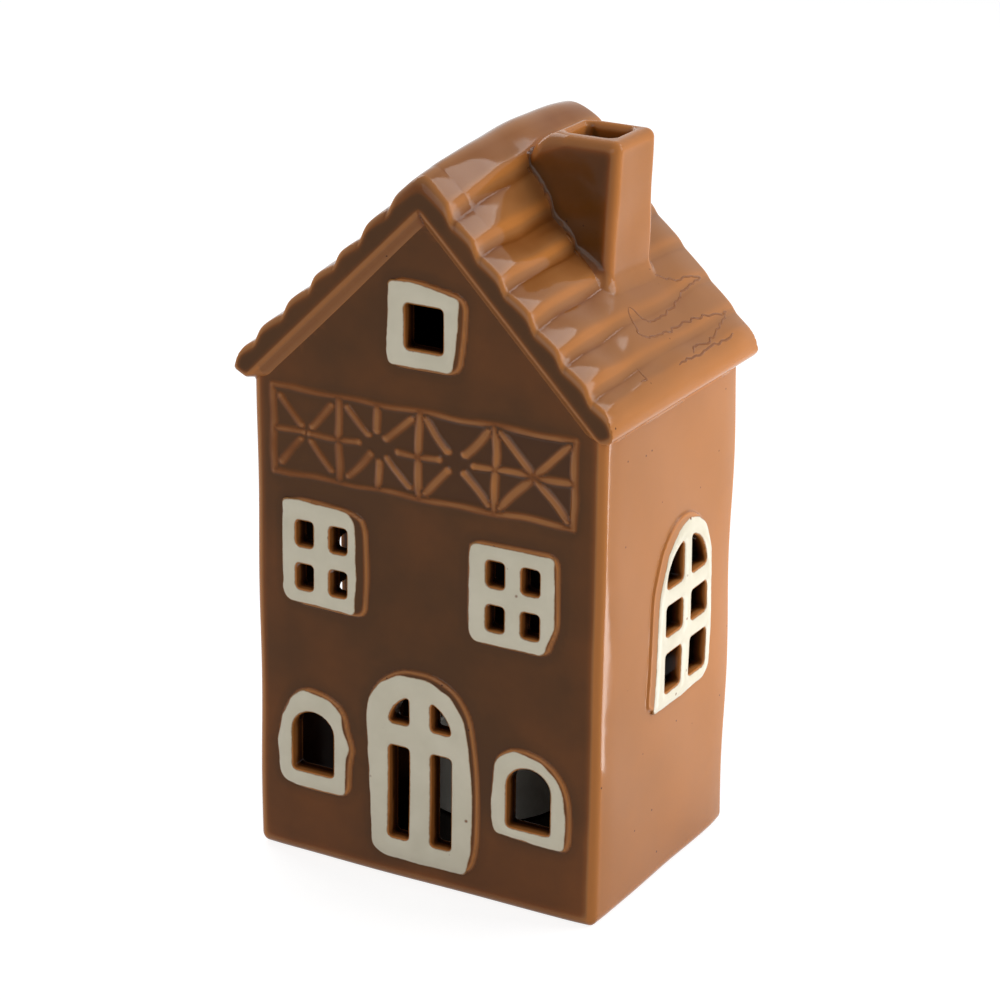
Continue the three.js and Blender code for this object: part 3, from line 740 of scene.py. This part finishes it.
def net(value, axes):
    """Surface net of a field on a lattice: a point in every cell that the zero surface crosses, at the mean
    of its crossings, and a four-sided face round every lattice edge that it crosses."""
    inside = value < 0
    cells_across = np.array(value.shape) - 1
    rings, spots = [], []
    for axis in range(3):
        near = tuple(slice(0, -1) if k == axis else slice(None) for k in range(3))
        far = tuple(slice(1, None) if k == axis else slice(None) for k in range(3))
        at = np.argwhere(inside[near] != inside[far])
        before, after = value[near][tuple(at.T)], value[far][tuple(at.T)]
        spot = np.stack([axes[k][at[:, k]] for k in range(3)], axis=1)
        spot[:, axis] += before / (before - after) * (axes[axis][at[:, axis] + 1] - axes[axis][at[:, axis]])
        ring = []
        for step_u, step_v in ((-1, -1), (0, -1), (0, 0), (-1, 0)):
            cell = at.copy()
            cell[:, (axis + 1) % 3] += step_u
            cell[:, (axis + 2) % 3] += step_v
            ring.append(np.ravel_multi_index(tuple(cell.T), cells_across))
        ring = np.stack(ring, axis=1)
        ring[before >= 0] = ring[before >= 0][:, ::-1]
        rings.append(ring)
        spots.append(np.repeat(spot, 4, axis=0))
    _, corner = np.unique(np.concatenate(rings).ravel(), return_inverse=True)
    corner = corner.ravel()
    spots = np.concatenate(spots)
    count = np.bincount(corner)
    points = np.stack([np.bincount(corner, spots[:, k]) / count for k in range(3)], axis=1)
    return points, corner.reshape(-1, 4)


def slope_of(field, points, reach=0.12):
    """The field's gradient, from its values a little to either side along each axis."""
    slopes = []
    for axis in range(3):
        step = np.zeros(3)
        step[axis] = reach
        slopes.append(field(*(points + step).T) - field(*(points - step).T))
    return np.stack(slopes, axis=1) / (2 * reach)


def settle(field, points, rounds=2):
    """Points moved along the gradient on to the zero surface, by the field over the gradient squared."""
    for _ in range(rounds):
        slope = slope_of(field, points)
        steep = np.maximum((slope * slope).sum(axis=1), FLATTEST_SLOPE)
        move = np.clip(field(*points.T) / steep, -FARTHEST_MOVE, FARTHEST_MOVE)
        points = points - slope * move[:, None]
    return points


def bulge(field, points, reach):
    """How convex the surface is: the field's mean on a small sphere round each point, over its radius."""
    ways = [np.array(way) for way in np.ndindex(3, 3, 3)]
    ways = [way - 1 for way in ways if way.tolist() != [1, 1, 1]]
    total = 0
    for way in ways:
        total = total + field(*(points + reach * way / np.linalg.norm(way)).T)
    return total / (len(ways) * reach)


def mesh_of(name, points, faces):
    """A smooth-shaded mesh from points in millimetres and faces of one size."""
    mesh = bpy.data.meshes.new(name)
    mesh.vertices.add(len(points))
    mesh.vertices.foreach_set("co", (points * MM).astype(np.float32).ravel())
    mesh.loops.add(faces.size)
    mesh.loops.foreach_set("vertex_index", faces.astype(np.int32).ravel())
    mesh.polygons.add(len(faces))
    mesh.polygons.foreach_set("loop_start", np.arange(0, faces.size, faces.shape[1], dtype=np.int32))
    mesh.update(calc_edges=True)
    mesh.shade_smooth()
    return mesh


def mark_thinness_and_light(mesh, values):
    """Stores how thin the glaze lies at each point, with any painted light and shade, for the materials to
    read.
    """
    layer = mesh.attributes.new("thinness_and_painted_light", "FLOAT", "POINT")
    layer.data.foreach_set("value", values.astype(np.float32))


def place(name, mesh, body, nodes, material):
    """Puts a finished mesh into the scene as a piece of a body, in place of its CAD nodes."""
    piece = bpy.data.objects.new(name, mesh)
    bpy.context.scene.collection.objects.link(piece)
    mesh.materials.clear()
    mesh.materials.append(material)
    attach(piece, body)
    if nodes:
        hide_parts(*nodes)


def thinned(points, faces, limit):
    """The mesh brought under a number of triangles by collapsing its flattest edges."""
    scratch = bpy.data.objects.new("scratch", mesh_of("scratch", points, faces))
    bpy.context.scene.collection.objects.link(scratch)
    scratch.modifiers.new("collapse", "DECIMATE").ratio = limit / (2 * len(faces))
    depsgraph = bpy.context.evaluated_depsgraph_get()
    mesh = bpy.data.meshes.new_from_object(scratch.evaluated_get(depsgraph))
    mesh.calc_loop_triangles()
    points = np.empty(len(mesh.vertices) * 3, np.float32)
    mesh.vertices.foreach_get("co", points)
    corners = np.empty(len(mesh.loop_triangles) * 3, np.int32)
    mesh.loop_triangles.foreach_get("vertices", corners)
    bpy.data.objects.remove(scratch)
    bpy.data.meshes.remove(mesh)
    return points.reshape(-1, 3).astype(float) / MM, corners.reshape(-1, 3)


def cast(name, field, low, high, step, nodes, material, limit=STONEWARE_LIMIT, reach=(1.0, 2.8),
         coat_and_light=None, hollows=1.0, crests=1.0, whole=None):
    """A piece of the house from its field: netted on a lattice, settled, thinned, and given its normals from
    the field. The value it stores is above zero where the surface is convex and glaze runs thin, and below in
    hollows, each times its own share, felt on the whole body where the piece joins another. A further
    function
    adds to it: glaze by place and facing, and painted light and shade by place and facing."""
    axes = [np.arange(a - 2 * step, b + 3 * step, step, dtype=np.float32) for a, b in zip(low, high)]
    value = field(axes[0][:, None, None], axes[1][None, :, None], axes[2][None, None, :])
    points, faces = net(value, axes)
    points = settle(field, points)
    if 2 * len(faces) > limit:
        edge = bulge(field, points, reach[0])
        swollen = points + THINNING_SWELL * edge[:, None] * slope_of(field, points)
        points, faces = thinned(swollen, faces, limit)
        points = settle(field, points, rounds=3)
    mesh = mesh_of(name, points, faces)
    normals = slope_of(field, points)
    normals /= np.maximum(np.linalg.norm(normals, axis=1), 1e-6)[:, None]
    mesh.normals_split_custom_set_from_vertices(normals.tolist())
    near, far = (bulge(whole or field, points, radius) for radius in reach)
    edge = NEAR_SHARE * near + (1 - NEAR_SHARE) * far
    edge = edge * np.where(edge < 0, hollows, crests)
    if coat_and_light:
        edge = edge + coat_and_light(points, normals)
    mark_thinness_and_light(mesh, edge)
    place(name, mesh, "house", nodes, material)


def turned(profile, centre, segments=144):
    """Points and triangles of a closed profile of radius and height turned about an upright axis. Points
    that fall together on the axis are joined, and triangles that vanish there are left out."""
    radius, height = np.array(profile, float).T
    angle = np.linspace(0, 2 * math.pi, segments, endpoint=False)
    x = centre[0] + radius[:, None] * np.cos(angle)
    y = centre[1] + radius[:, None] * np.sin(angle)
    z = centre[2] + np.broadcast_to(height[:, None], x.shape)
    points = np.stack([x, y, z], axis=2).reshape(-1, 3)
    here = np.arange(x.size).reshape(x.shape)
    up = np.roll(here, -1, axis=0)
    beside = np.roll(here, -1, axis=1)
    over = np.roll(up, -1, axis=1)
    faces = np.concatenate([np.stack([here, beside, over], axis=2).reshape(-1, 3),
                            np.stack([here, over, up], axis=2).reshape(-1, 3)])
    _, first, joined = np.unique(np.round(points, 5), axis=0, return_index=True, return_inverse=True)
    faces = joined.ravel()[faces]
    a, b, c = faces.T
    faces = faces[(a != b) & (b != c) & (c != a)]
    points = points[first]
    a, b, c = (points[faces[:, k]] - points.mean(axis=0) for k in range(3))
    if (a * np.cross(b, c)).sum() < 0:
        faces = faces[:, ::-1]
    return points, faces


def cup_profile():
    """A plastic cup open below: its wall has a round foot and a round rim, and its top is dished like melted
    wax round the flame's hole."""
    bore = CUP_RADIUS - CUP_WALL
    hole = FLAME_NECK + FLAME_PLAY
    seat = CUP_HEIGHT - CUP_DISH - CUP_WALL
    bend = CUP_WALL / 2
    middle = CUP_RADIUS - bend
    foot = [(middle + bend * math.sin(a), bend - bend * math.cos(a)) for a in np.linspace(0, math.pi / 2, 7)]
    rim = [(middle + bend * math.cos(a), CUP_HEIGHT - bend + bend * math.sin(a))
           for a in np.linspace(0, math.pi, 13)]
    out = np.linspace(bore - WAX_GAP, hole, 14)
    sag = CUP_HEIGHT - CUP_DISH * np.sin(0.5 * math.pi * (out[0] - out) / (out[0] - hole))
    return [(bore, 0)] + foot + rim + list(zip(out, sag)) + [(hole, seat), (bore, seat)]


def flame_profile():
    """A hollow plastic flame: a neck that swells to a belly a third of the way up and runs out to a point, on
    a flange below the cup's top."""
    neck_top = CUP_HEIGHT - CUP_DISH
    foot = flame_low[2] - cup_low[2]
    tip = flame_high[2] - cup_low[2]
    bore = FLAME_NECK - FLAME_WALL
    flange = min((flame_high[0] - flame_low[0]) / 2, FLAME_BELLY - FLANGE_SET_IN)
    share = np.linspace(0, 1, 40)
    swollen = np.sin(0.5 * math.pi * np.minimum(share / BELLY_SHARE, 1))
    width = FLAME_NECK + (FLAME_BELLY - FLAME_NECK) * swollen
    taper = 1 - np.maximum((share - BELLY_SHARE) / (1 - BELLY_SHARE), 0) ** FLAME_TAPER
    outer = np.stack([width * taper, neck_top + (tip - neck_top) * share], axis=1)
    hollow = np.maximum(outer[:, 0] - FLAME_WALL, 0)
    inner = np.stack([hollow, outer[:, 1] - 2 * FLAME_WALL * share], axis=1)
    stem = [(bore, foot), (flange, foot), (flange, foot + FLANGE_HEIGHT), (FLAME_NECK, foot + FLANGE_HEIGHT)]
    return stem + outer.tolist() + inner[::-1].tolist()


def turn(name, profile, nodes, material):
    """A turned piece on the tea light's axis."""
    foot = ((cup_low[0] + cup_high[0]) / 2, (cup_low[1] + cup_high[1]) / 2, cup_low[2])
    mesh = mesh_of(name, *turned(profile, foot))
    mesh.set_sharp_from_angle(angle=math.radians(CREASE_DEGREES))
    place(name, mesh, "tealight", nodes, material)


def glaze_run(path):
    """A thin bead of glaze: the path walked in short steps with a ragged waver, brought down on to the tiles,
    and given a round section that tapers at both ends."""
    path = np.array(path)
    walked = np.concatenate([[0], np.cumsum(np.hypot(*np.diff(path, axis=0).T))])
    at = np.arange(0, walked[-1], RUN_STEP)
    x, y = (np.interp(at, walked, path[:, k]) for k in (0, 1))
    broad = RUN_WAVER * ripple(x, y, 0, RUN_LENGTH, SEEDS["run_broad"])
    x = x + broad + RUN_RAG * ripple(x, y, 0, RUN_RAG_LENGTH, SEEDS["run_fine"])
    y = y + RUN_WANDER * ripple(x, y, 0, RUN_LENGTH, SEEDS["run_along"])
    spine = settle(roof_field, np.stack([x, y, RIDGE - x], axis=1), rounds=8)
    out = slope_of(roof_field, spine)
    out /= np.linalg.norm(out, axis=1)[:, None]
    ahead = np.gradient(spine, axis=0)
    ahead /= np.linalg.norm(ahead, axis=1)[:, None]
    side = np.cross(ahead, out)
    taper = np.sqrt(np.clip(np.minimum(at, at[-1] - at) / RUN_TAPER, 0.05, 1))
    angle = np.linspace(0, 2 * math.pi, RUN_SIDES, endpoint=False)[None, :, None]
    section = np.cos(angle) * side[:, None] + (np.sin(angle) - RUN_SINK) * out[:, None]
    rings = spine[:, None] + RUN_RADIUS * taper[:, None, None] * section
    here = np.arange(len(at) * RUN_SIDES).reshape(-1, RUN_SIDES)
    beside = np.roll(here, -1, axis=1)
    sides = np.stack([here[:-1], beside[:-1], beside[1:], here[1:]], axis=2).reshape(-1, 4)
    # Three faces close an eight-sided end
    cap = np.array([[0, 1, 2, 3], [0, 3, 4, 7], [4, 5, 6, 7]])
    return rings.reshape(-1, 3), np.concatenate([sides, cap[:, ::-1], cap + here[-1, 0]])


def lay_runs(material):
    """The runs of glaze on the roof, as one piece."""
    points, faces, count = [], [], 0
    for path in RUNS:
        run_points, run_faces = glaze_run(path)
        points.append(run_points)
        faces.append(run_faces + count)
        count += len(run_points)
    mesh = mesh_of("glaze_runs", np.concatenate(points), np.concatenate(faces))
    mark_thinness_and_light(mesh, np.full(count, RUN_TONE))
    place("glaze_runs", mesh, "house", [], material)


def glaze_and_painted_light(points, normals):
    """Glaze lies thinner on upright corners and pools in the chips of the timber panel. On faces turned up
    the slopes are darker near the ridge and paler low down. Painted light: faces turned up or aside are
    paler, as lit faces are, and the foot is paler, as lit from the floor. Painted shade: the room and the
    flue are dark inside."""
    x = np.abs(points[:, 0])
    y = np.abs(points[:, 1])
    z = points[:, 2]
    walls = np.minimum(HALF_WIDTH - x, HALF_DEPTH - y)
    # Painted shade: the room inside the walls and under the roof is dark, from a little way in
    deep = np.minimum(walls, (UNDERSIDE + ROOF_SKIN - x - z) / ROOT2)
    inside = np.clip((deep - ROOM_SKIN) / ROOM_FADE, 0, 1) * (z > ROOM_FOOT)
    # Painted shade: down the flue it is dark, from a little below the rim
    chute = np.clip(FLUE_SPREAD - flue(points[:, 0], points[:, 1]), 0, 1) * (z > EAVE)
    chute = chute * np.clip((FLUE_SHADE_TOP - z) / FLUE_SHADE_FADE, 0, 1)
    upward = np.clip(UPWARD_GAIN * normals[:, 2], 0, 1)
    # Faces turned up are a little darker near the ridge and paler out towards the eaves
    slope_tone = SLOPE_TONE_RATE * (np.maximum(x, SLOPE_TONE_START) - SLOPE_TONE_EVEN) * upward
    # Painted light: the lowest part of the walls is paler, as lit by light thrown up from the floor
    foot_light = FOOT_PAINTED_LIGHT * np.clip((FOOT_HEIGHT - z) / FOOT_FADE, 0, 1)
    corner = CORNER_THIN * (2 * normals[:, 0] * normals[:, 1]) ** 2 * (x > HALF_WIDTH - CORNER_BAND)
    pooled = CHIP_POOL * timber_chips(points[:, 0], z) * (points[:, 1] < CHIP_BAND - HALF_DEPTH)
    # Painted light: faces turned to either side or up are paler, as faces the lamps light are
    facing = FACING_PAINTED_LIGHT * np.maximum(np.abs(normals[:, 0]), UPWARD_SHARE * normals[:, 2])
    thin = facing + corner + slope_tone + foot_light
    return thin - pooled - np.maximum(ROOM_PAINTED_SHADE * inside, FLUE_PAINTED_SHADE * chute)


def colour(code):
    """Linear colour from an sRGB hex code."""
    parts = [int(code[i:i + 2], 16) / 255 for i in (1, 3, 5)]
    return [c / 12.92 if c <= 0.04045 else ((c + 0.055) / 1.055) ** 2.4 for c in parts] + [1.0]


def per_mm(length):
    """A texture scale that repeats once in that many millimetres of Object coordinates."""
    return 1 / (length * MM)


def add(tree, kind, settings=None, stops=(), **inputs):
    """Adds a node with its settings, the stops of its colour ramp, and its inputs, each a value or a link. An
    input's key is its name with _ for spaces, or in_ and its place."""
    node = tree.nodes.new(kind)
    for key, value in (settings or {}).items():
        setattr(node, key, value)
    if stops:
        elements = node.color_ramp.elements
        elements[0].position, elements[1].position = stops[0][0], stops[-1][0]
        elements[0].color, elements[1].color = colour(stops[0][1]), colour(stops[-1][1])
        for position, code in stops[1:-1]:
            elements.new(position).color = colour(code)
    for key, value in inputs.items():
        socket = node.inputs[int(key[3:])] if key.startswith("in_") else node.inputs[key.replace("_", " ")]
        if isinstance(value, bpy.types.NodeSocket):
            tree.links.new(value, socket)
        else:
            socket.default_value = value
    return node


def new_material(name):
    """An empty node material with its output: (material, tree, output)."""
    material = bpy.data.materials.new(name)
    material.use_nodes = True
    material.node_tree.nodes.clear()
    return material, material.node_tree, add(material.node_tree, "ShaderNodeOutputMaterial")


def specks(tree, where, spacing, chosen_above, outer, inner):
    """1 in small round dots that fade from inner to outer, in some of the cells of that spacing."""
    cells = add(tree, "ShaderNodeTexVoronoi", Vector=where, Scale=per_mm(spacing))
    chosen = add(tree, "ShaderNodeMath", {"operation": "GREATER_THAN"}, in_0=cells.outputs["Color"],
                 in_1=chosen_above)
    near = add(tree, "ShaderNodeMapRange", Value=cells.outputs["Distance"], From_Min=outer, From_Max=inner)
    return add(tree, "ShaderNodeMath", {"operation": "MULTIPLY"}, in_0=chosen.outputs[0],
               in_1=near.outputs[0]).outputs[0]


def amber_glaze():
    """Iron-brown transparent glaze on slip-cast stoneware: it thins to amber on every edge and pools darker
    in hollows, with mottling and a few iron specks, over a glassy, slightly wavy surface."""
    material, tree, output = new_material("amber_iron_glaze")
    where = add(tree, "ShaderNodeTexCoord").outputs["Object"]
    # The attribute also holds painted light and shade: lit facings and the foot paler, the room and the flue
    # dark
    edge = add(tree, "ShaderNodeAttribute", {"attribute_name": "thinness_and_painted_light"}).outputs["Fac"]
    mottle = add(tree, "ShaderNodeTexNoise", Vector=where, Scale=per_mm(22), Detail=4.0).outputs["Fac"]
    uneven = add(tree, "ShaderNodeMapRange", Value=mottle, From_Min=0.3, From_Max=0.7, To_Min=-0.015,
                 To_Max=0.015).outputs[0]
    depth = add(tree, "ShaderNodeMath", {"operation": "ADD"}, in_0=edge, in_1=uneven).outputs[0]
    depth = add(tree, "ShaderNodeMapRange", Value=depth, From_Min=-0.25, From_Max=0.25).outputs[0]
    tones = [(0.0, "#1a0d06"), (0.3, "#482611"), (0.5, "#5f3a17"), (0.62, "#8a4f20"), (0.75, "#ab7140"),
             (1.0, "#c98142")]
    tone = add(tree, "ShaderNodeValToRGB", stops=tones, Fac=depth).outputs["Color"]
    iron = specks(tree, where, spacing=3.2, chosen_above=0.8, outer=0.11, inner=0.05)
    mixed = add(tree, "ShaderNodeMix", {"data_type": "RGBA"}, in_0=iron, in_6=tone, in_7=colour("#3c2010"))
    rough = add(tree, "ShaderNodeMapRange", Value=mottle, From_Min=0.3, From_Max=0.7, To_Min=0.06,
                To_Max=0.11).outputs[0]
    swell = add(tree, "ShaderNodeTexNoise", Vector=where, Scale=per_mm(7), Detail=1.0).outputs["Fac"]
    bump = add(tree, "ShaderNodeBump", Height=swell, Distance=0.0001, Strength=0.5).outputs["Normal"]
    shader = add(tree, "ShaderNodeBsdfPrincipled", Base_Color=mixed.outputs[2], Roughness=rough, Normal=bump,
                 IOR=1.5, Specular_IOR_Level=0.15)
    tree.links.new(shader.outputs[0], output.inputs[0])
    return material


def white_enamel():
    """Brushed-on white enamel over the glaze: an off-white, glossy skin with pinholes that show the brown
    below, thinning to tan at its edges."""
    material, tree, output = new_material("white_enamel")
    where = add(tree, "ShaderNodeTexCoord").outputs["Object"]
    edge = add(tree, "ShaderNodeAttribute", {"attribute_name": "thinness_and_painted_light"}).outputs["Fac"]
    clouds = add(tree, "ShaderNodeTexNoise", Vector=where, Scale=per_mm(9), Detail=3.0).outputs["Fac"]
    whites = [(0.3, "#e8e1cb"), (0.7, "#f1ead5")]
    tone = add(tree, "ShaderNodeValToRGB", stops=whites, Fac=clouds).outputs["Color"]
    ragged = add(tree, "ShaderNodeTexNoise", Vector=where, Scale=per_mm(1.6), Detail=2.0).outputs["Fac"]
    bare = add(tree, "ShaderNodeMath", {"operation": "MULTIPLY_ADD"}, in_0=ragged, in_1=0.12, in_2=edge)
    bare = add(tree, "ShaderNodeMapRange", Value=bare.outputs[0], From_Min=0.21, From_Max=0.33).outputs[0]
    rim = add(tree, "ShaderNodeMix", {"data_type": "RGBA"}, in_0=bare, in_6=tone, in_7=colour("#a5733c"))
    pinholes = specks(tree, where, spacing=4.5, chosen_above=0.52, outer=0.14, inner=0.06)
    mixed = add(tree, "ShaderNodeMix", {"data_type": "RGBA"}, in_0=pinholes, in_6=rim.outputs[2],
                in_7=colour("#8a4f22"))
    swell = add(tree, "ShaderNodeTexNoise", Vector=where, Scale=per_mm(3), Detail=2.0).outputs["Fac"]
    bump = add(tree, "ShaderNodeBump", Height=swell, Distance=0.0001, Strength=0.4).outputs["Normal"]
    shader = add(tree, "ShaderNodeBsdfPrincipled", Base_Color=mixed.outputs[2], Roughness=0.22, Normal=bump,
                 IOR=1.5, Specular_IOR_Level=0.3)
    tree.links.new(shader.outputs[0], output.inputs[0])
    return material


def moulded_plastic(name, dark, pale, rough):
    """Injection-moulded plastic: a faint cloudiness and a fine satin grain."""
    material, tree, output = new_material(name)
    where = add(tree, "ShaderNodeTexCoord").outputs["Object"]
    cloud = add(tree, "ShaderNodeTexNoise", Vector=where, Scale=per_mm(8), Detail=2.0).outputs["Fac"]
    tone = add(tree, "ShaderNodeValToRGB", stops=[(0.3, dark), (0.7, pale)], Fac=cloud).outputs["Color"]
    grain = add(tree, "ShaderNodeTexNoise", Vector=where, Scale=per_mm(0.25)).outputs["Fac"]
    bump = add(tree, "ShaderNodeBump", Height=grain, Distance=0.00002, Strength=0.5).outputs["Normal"]
    shader = add(tree, "ShaderNodeBsdfPrincipled", Base_Color=tone, Roughness=rough, Normal=bump)
    tree.links.new(shader.outputs[0], output.inputs[0])
    return material


def frosted_plastic(name, core, skin, rough, depth_mm):
    """Milky plastic that light soaks into: softly clouded from core to skin colour, with a smooth skin."""
    material, tree, output = new_material(name)
    where = add(tree, "ShaderNodeTexCoord").outputs["Object"]
    cloud = add(tree, "ShaderNodeTexNoise", Vector=where, Scale=per_mm(5), Detail=2.0).outputs["Fac"]
    tone = add(tree, "ShaderNodeValToRGB", stops=[(0.3, core), (0.7, skin)], Fac=cloud).outputs["Color"]
    shader = add(tree, "ShaderNodeBsdfPrincipled", Base_Color=tone, Roughness=rough, Subsurface_Weight=0.6,
                 Subsurface_Radius=(1.0, 0.7, 0.4), Subsurface_Scale=depth_mm * MM)
    tree.links.new(shader.outputs[0], output.inputs[0])
    return material


def nickel_plate():
    """Nickel-plated steel: bright grey metal with fine rolling lines."""
    material, tree, output = new_material("nickel_plated_steel")
    where = add(tree, "ShaderNodeTexCoord").outputs["Object"]
    rolled = add(tree, "ShaderNodeMapping", Vector=where, Scale=(0.08, 1, 1)).outputs["Vector"]
    lines = add(tree, "ShaderNodeTexNoise", Vector=rolled, Scale=per_mm(0.3), Detail=3.0).outputs["Fac"]
    greys = [(0.3, "#a9acb0"), (0.7, "#cdd0d3")]
    tone = add(tree, "ShaderNodeValToRGB", stops=greys, Fac=lines).outputs["Color"]
    rough = add(tree, "ShaderNodeMapRange", Value=lines, To_Min=0.22, To_Max=0.36).outputs[0]
    shader = add(tree, "ShaderNodeBsdfPrincipled", Base_Color=tone, Roughness=rough, Metallic=1.0)
    tree.links.new(shader.outputs[0], output.inputs[0])
    return material


# Finishes, by the record's material slots
finishes = {
    "white_plastic": moulded_plastic("white_moulded_plastic", "#e3ded1", "#eeeadf", rough=0.42),
    "black_plastic": moulded_plastic("black_moulded_plastic", "#232325", "#303033", rough=0.5),
    "flame_plastic": frosted_plastic("frosted_flame_plastic", "#ecd39a", "#f6e9c4", rough=0.38, depth_mm=2.5),
    "led_resin": frosted_plastic("warm_led_resin", "#e8c97c", "#f4dfa4", rough=0.12, depth_mm=1.5),
    "contact_steel": nickel_plate(),
}
for part in frame["record"]["subparts"]:
    if part["material_slot"] in finishes:
        frame["nodes"][part["node"]].data.materials.clear()
        frame["nodes"][part["node"]].data.materials.append(finishes[part["material_slot"]])
glaze = amber_glaze()
enamel = white_enamel()

# The house
shell_low = (-HALF_WIDTH - PAINT_HEIGHT, -HALF_DEPTH - PAINT_HEIGHT, 0)
shell_high = (HALF_WIDTH + PAINT_HEIGHT, HALF_DEPTH + REAR_MARGIN, UNDERSIDE + ROOF_LAP)
cast("house_shell", shell_field, shell_low, shell_high, STONEWARE_STEP,
     ["front_wall", "rear_wall", "left_wall", "right_wall", "floor"], glaze, coat_and_light=glaze_and_painted_light,
     hollows=0.15, crests=1.15)
roof_low = (-EAVE_TIP, -VERGE, EAVE - EAVE_MARGIN)
roof_peak = (EAVE_TIP, VERGE, RIDGE + RIDGE_CROWN)
cast("tiled_roof", roof_field, roof_low, roof_peak, STONEWARE_STEP, ["roof"], glaze,
     reach=(0.7, 1.6), coat_and_light=glaze_and_painted_light, hollows=0.35)
cast("chimney_pot", chimney_field, chimney_low - FOOT_MARGIN, chimney_high + HEAD_MARGIN, CHIMNEY_STEP,
     ["chimney"], glaze, coat_and_light=glaze_and_painted_light, hollows=0.3, whole=chimney_on_roof)
lay_runs(glaze)
for node in WINDOWS:
    low, high = node_box(node)
    cast(node.replace("surround", "enamel"), surround_field(node), low - ENAMEL_MARGIN, high + ENAMEL_MARGIN,
         ENAMEL_STEP, [node], enamel, limit=ENAMEL_LIMIT, reach=(0.5, 1.0))

# The tea light
turn("wax_white_cup", cup_profile(), ["tealight_cup"], finishes["white_plastic"])
turn("frosted_flame", flame_profile(), ["flame_lens"], finishes["flame_plastic"])


def stand(name, data, axes, spot):
    """A camera or lamp in the scene, with its own x, y and z along those axes and its place in metres."""
    matrix = np.eye(4)
    matrix[:3, :3] = np.stack(axes, axis=1)
    matrix[:3, 3] = spot
    thing = bpy.data.objects.new(name, data)
    thing.matrix_world = Matrix(matrix.tolist())
    bpy.context.scene.collection.objects.link(thing)
    return thing


def make_camera():
    """The photograph's viewpoint: a long lens looking down at the front and right walls."""
    azimuth = math.radians(CAMERA_AZIMUTH)
    elevation = math.radians(CAMERA_ELEVATION)
    roll = math.radians(CAMERA_ROLL)
    back = np.array([math.sin(azimuth) * math.cos(elevation), -math.cos(azimuth) * math.cos(elevation),
                     math.sin(elevation)])
    right = np.array([math.cos(azimuth), math.sin(azimuth), 0])
    up = np.cross(back, right)
    rolled_right = right * math.cos(roll) + up * math.sin(roll)
    rolled_up = up * math.cos(roll) - right * math.sin(roll)
    data = bpy.data.cameras.new("camera")
    data.sensor_width = SENSOR_WIDTH
    data.lens = FOCAL_LENGTH * SENSOR_WIDTH
    spot = (np.array(CAMERA_TARGET) + back * CAMERA_DISTANCE) * MM
    bpy.context.scene.camera = stand("camera", data, [rolled_right, rolled_up, back], spot)


def seen_directly(tree):
    """1 for rays that show the background: from the camera, in reflections and through glass."""
    path = add(tree, "ShaderNodeLightPath")
    either = add(tree, "ShaderNodeMath", {"operation": "MAXIMUM"}, in_0=path.outputs["Is Camera Ray"],
                 in_1=path.outputs["Is Glossy Ray"]).outputs[0]
    return add(tree, "ShaderNodeMath", {"operation": "MAXIMUM"}, in_0=either,
               in_1=path.outputs["Is Transmission Ray"]).outputs[0]


def make_floor():
    """A plain white paper floor: seen directly it is bright and keeps a pale shadow, and the light that it
    throws back on the house is that of a pale grey sheet."""
    half = FLOOR_HALF / MM
    corners = np.array([(-half, -half, 0), (half, -half, 0), (half, half, 0), (-half, half, 0)])
    mesh = mesh_of("floor_sheet", corners, np.array([[0, 1, 2, 3]]))
    sheet = bpy.data.objects.new("floor_sheet", mesh)
    bpy.context.scene.collection.objects.link(sheet)
    material, tree, output = new_material("white_paper_floor")
    dim = add(tree, "ShaderNodeBsdfDiffuse", Color=colour("#dad6ce"))
    bright = add(tree, "ShaderNodeEmission", Strength=0.84)
    lit = add(tree, "ShaderNodeBsdfDiffuse", Color=colour("#a8a8a8"))
    both = add(tree, "ShaderNodeAddShader", in_0=bright.outputs[0], in_1=lit.outputs[0])
    mixed = add(tree, "ShaderNodeMixShader", in_0=seen_directly(tree), in_1=dim.outputs[0],
                in_2=both.outputs[0])
    tree.links.new(mixed.outputs[0], output.inputs[0])
    mesh.materials.append(material)


def make_lamps():
    """Soft boxes on the right, behind, on the left and in front, and a strip on the floor whose reflection
    lies along the right-hand edges."""
    for name, made in LAMPS.items():
        data = bpy.data.lights.new(name, "AREA")
        data.shape = "RECTANGLE"
        data.size, data.size_y = made["size"]
        data.energy = made["watts"]
        away = np.array(made["spot"]) - np.array(made["aim"])
        away /= np.linalg.norm(away)
        side = np.cross((0, 0, 1.0), away)
        side /= np.linalg.norm(side)
        lamp = stand(name, data, [side, np.cross(away, side), away], made["spot"])
        lamp.visible_camera = False


def make_room():
    """A dim room that looks white to the camera."""
    world = bpy.data.worlds.new("studio")
    world.use_nodes = True
    tree = world.node_tree
    tree.nodes.clear()
    room = add(tree, "ShaderNodeBackground", Color=colour("#ffffff"), Strength=0.14)
    white = add(tree, "ShaderNodeBackground", Color=colour("#ffffff"), Strength=1.0)
    mixed = add(tree, "ShaderNodeMixShader", in_0=seen_directly(tree), in_1=room.outputs[0],
                in_2=white.outputs[0])
    output = add(tree, "ShaderNodeOutputWorld")
    tree.links.new(mixed.outputs[0], output.inputs[0])
    bpy.context.scene.world = world


make_camera()
make_floor()
make_lamps()
make_room()
bpy.context.scene.view_settings.view_transform = "Standard"
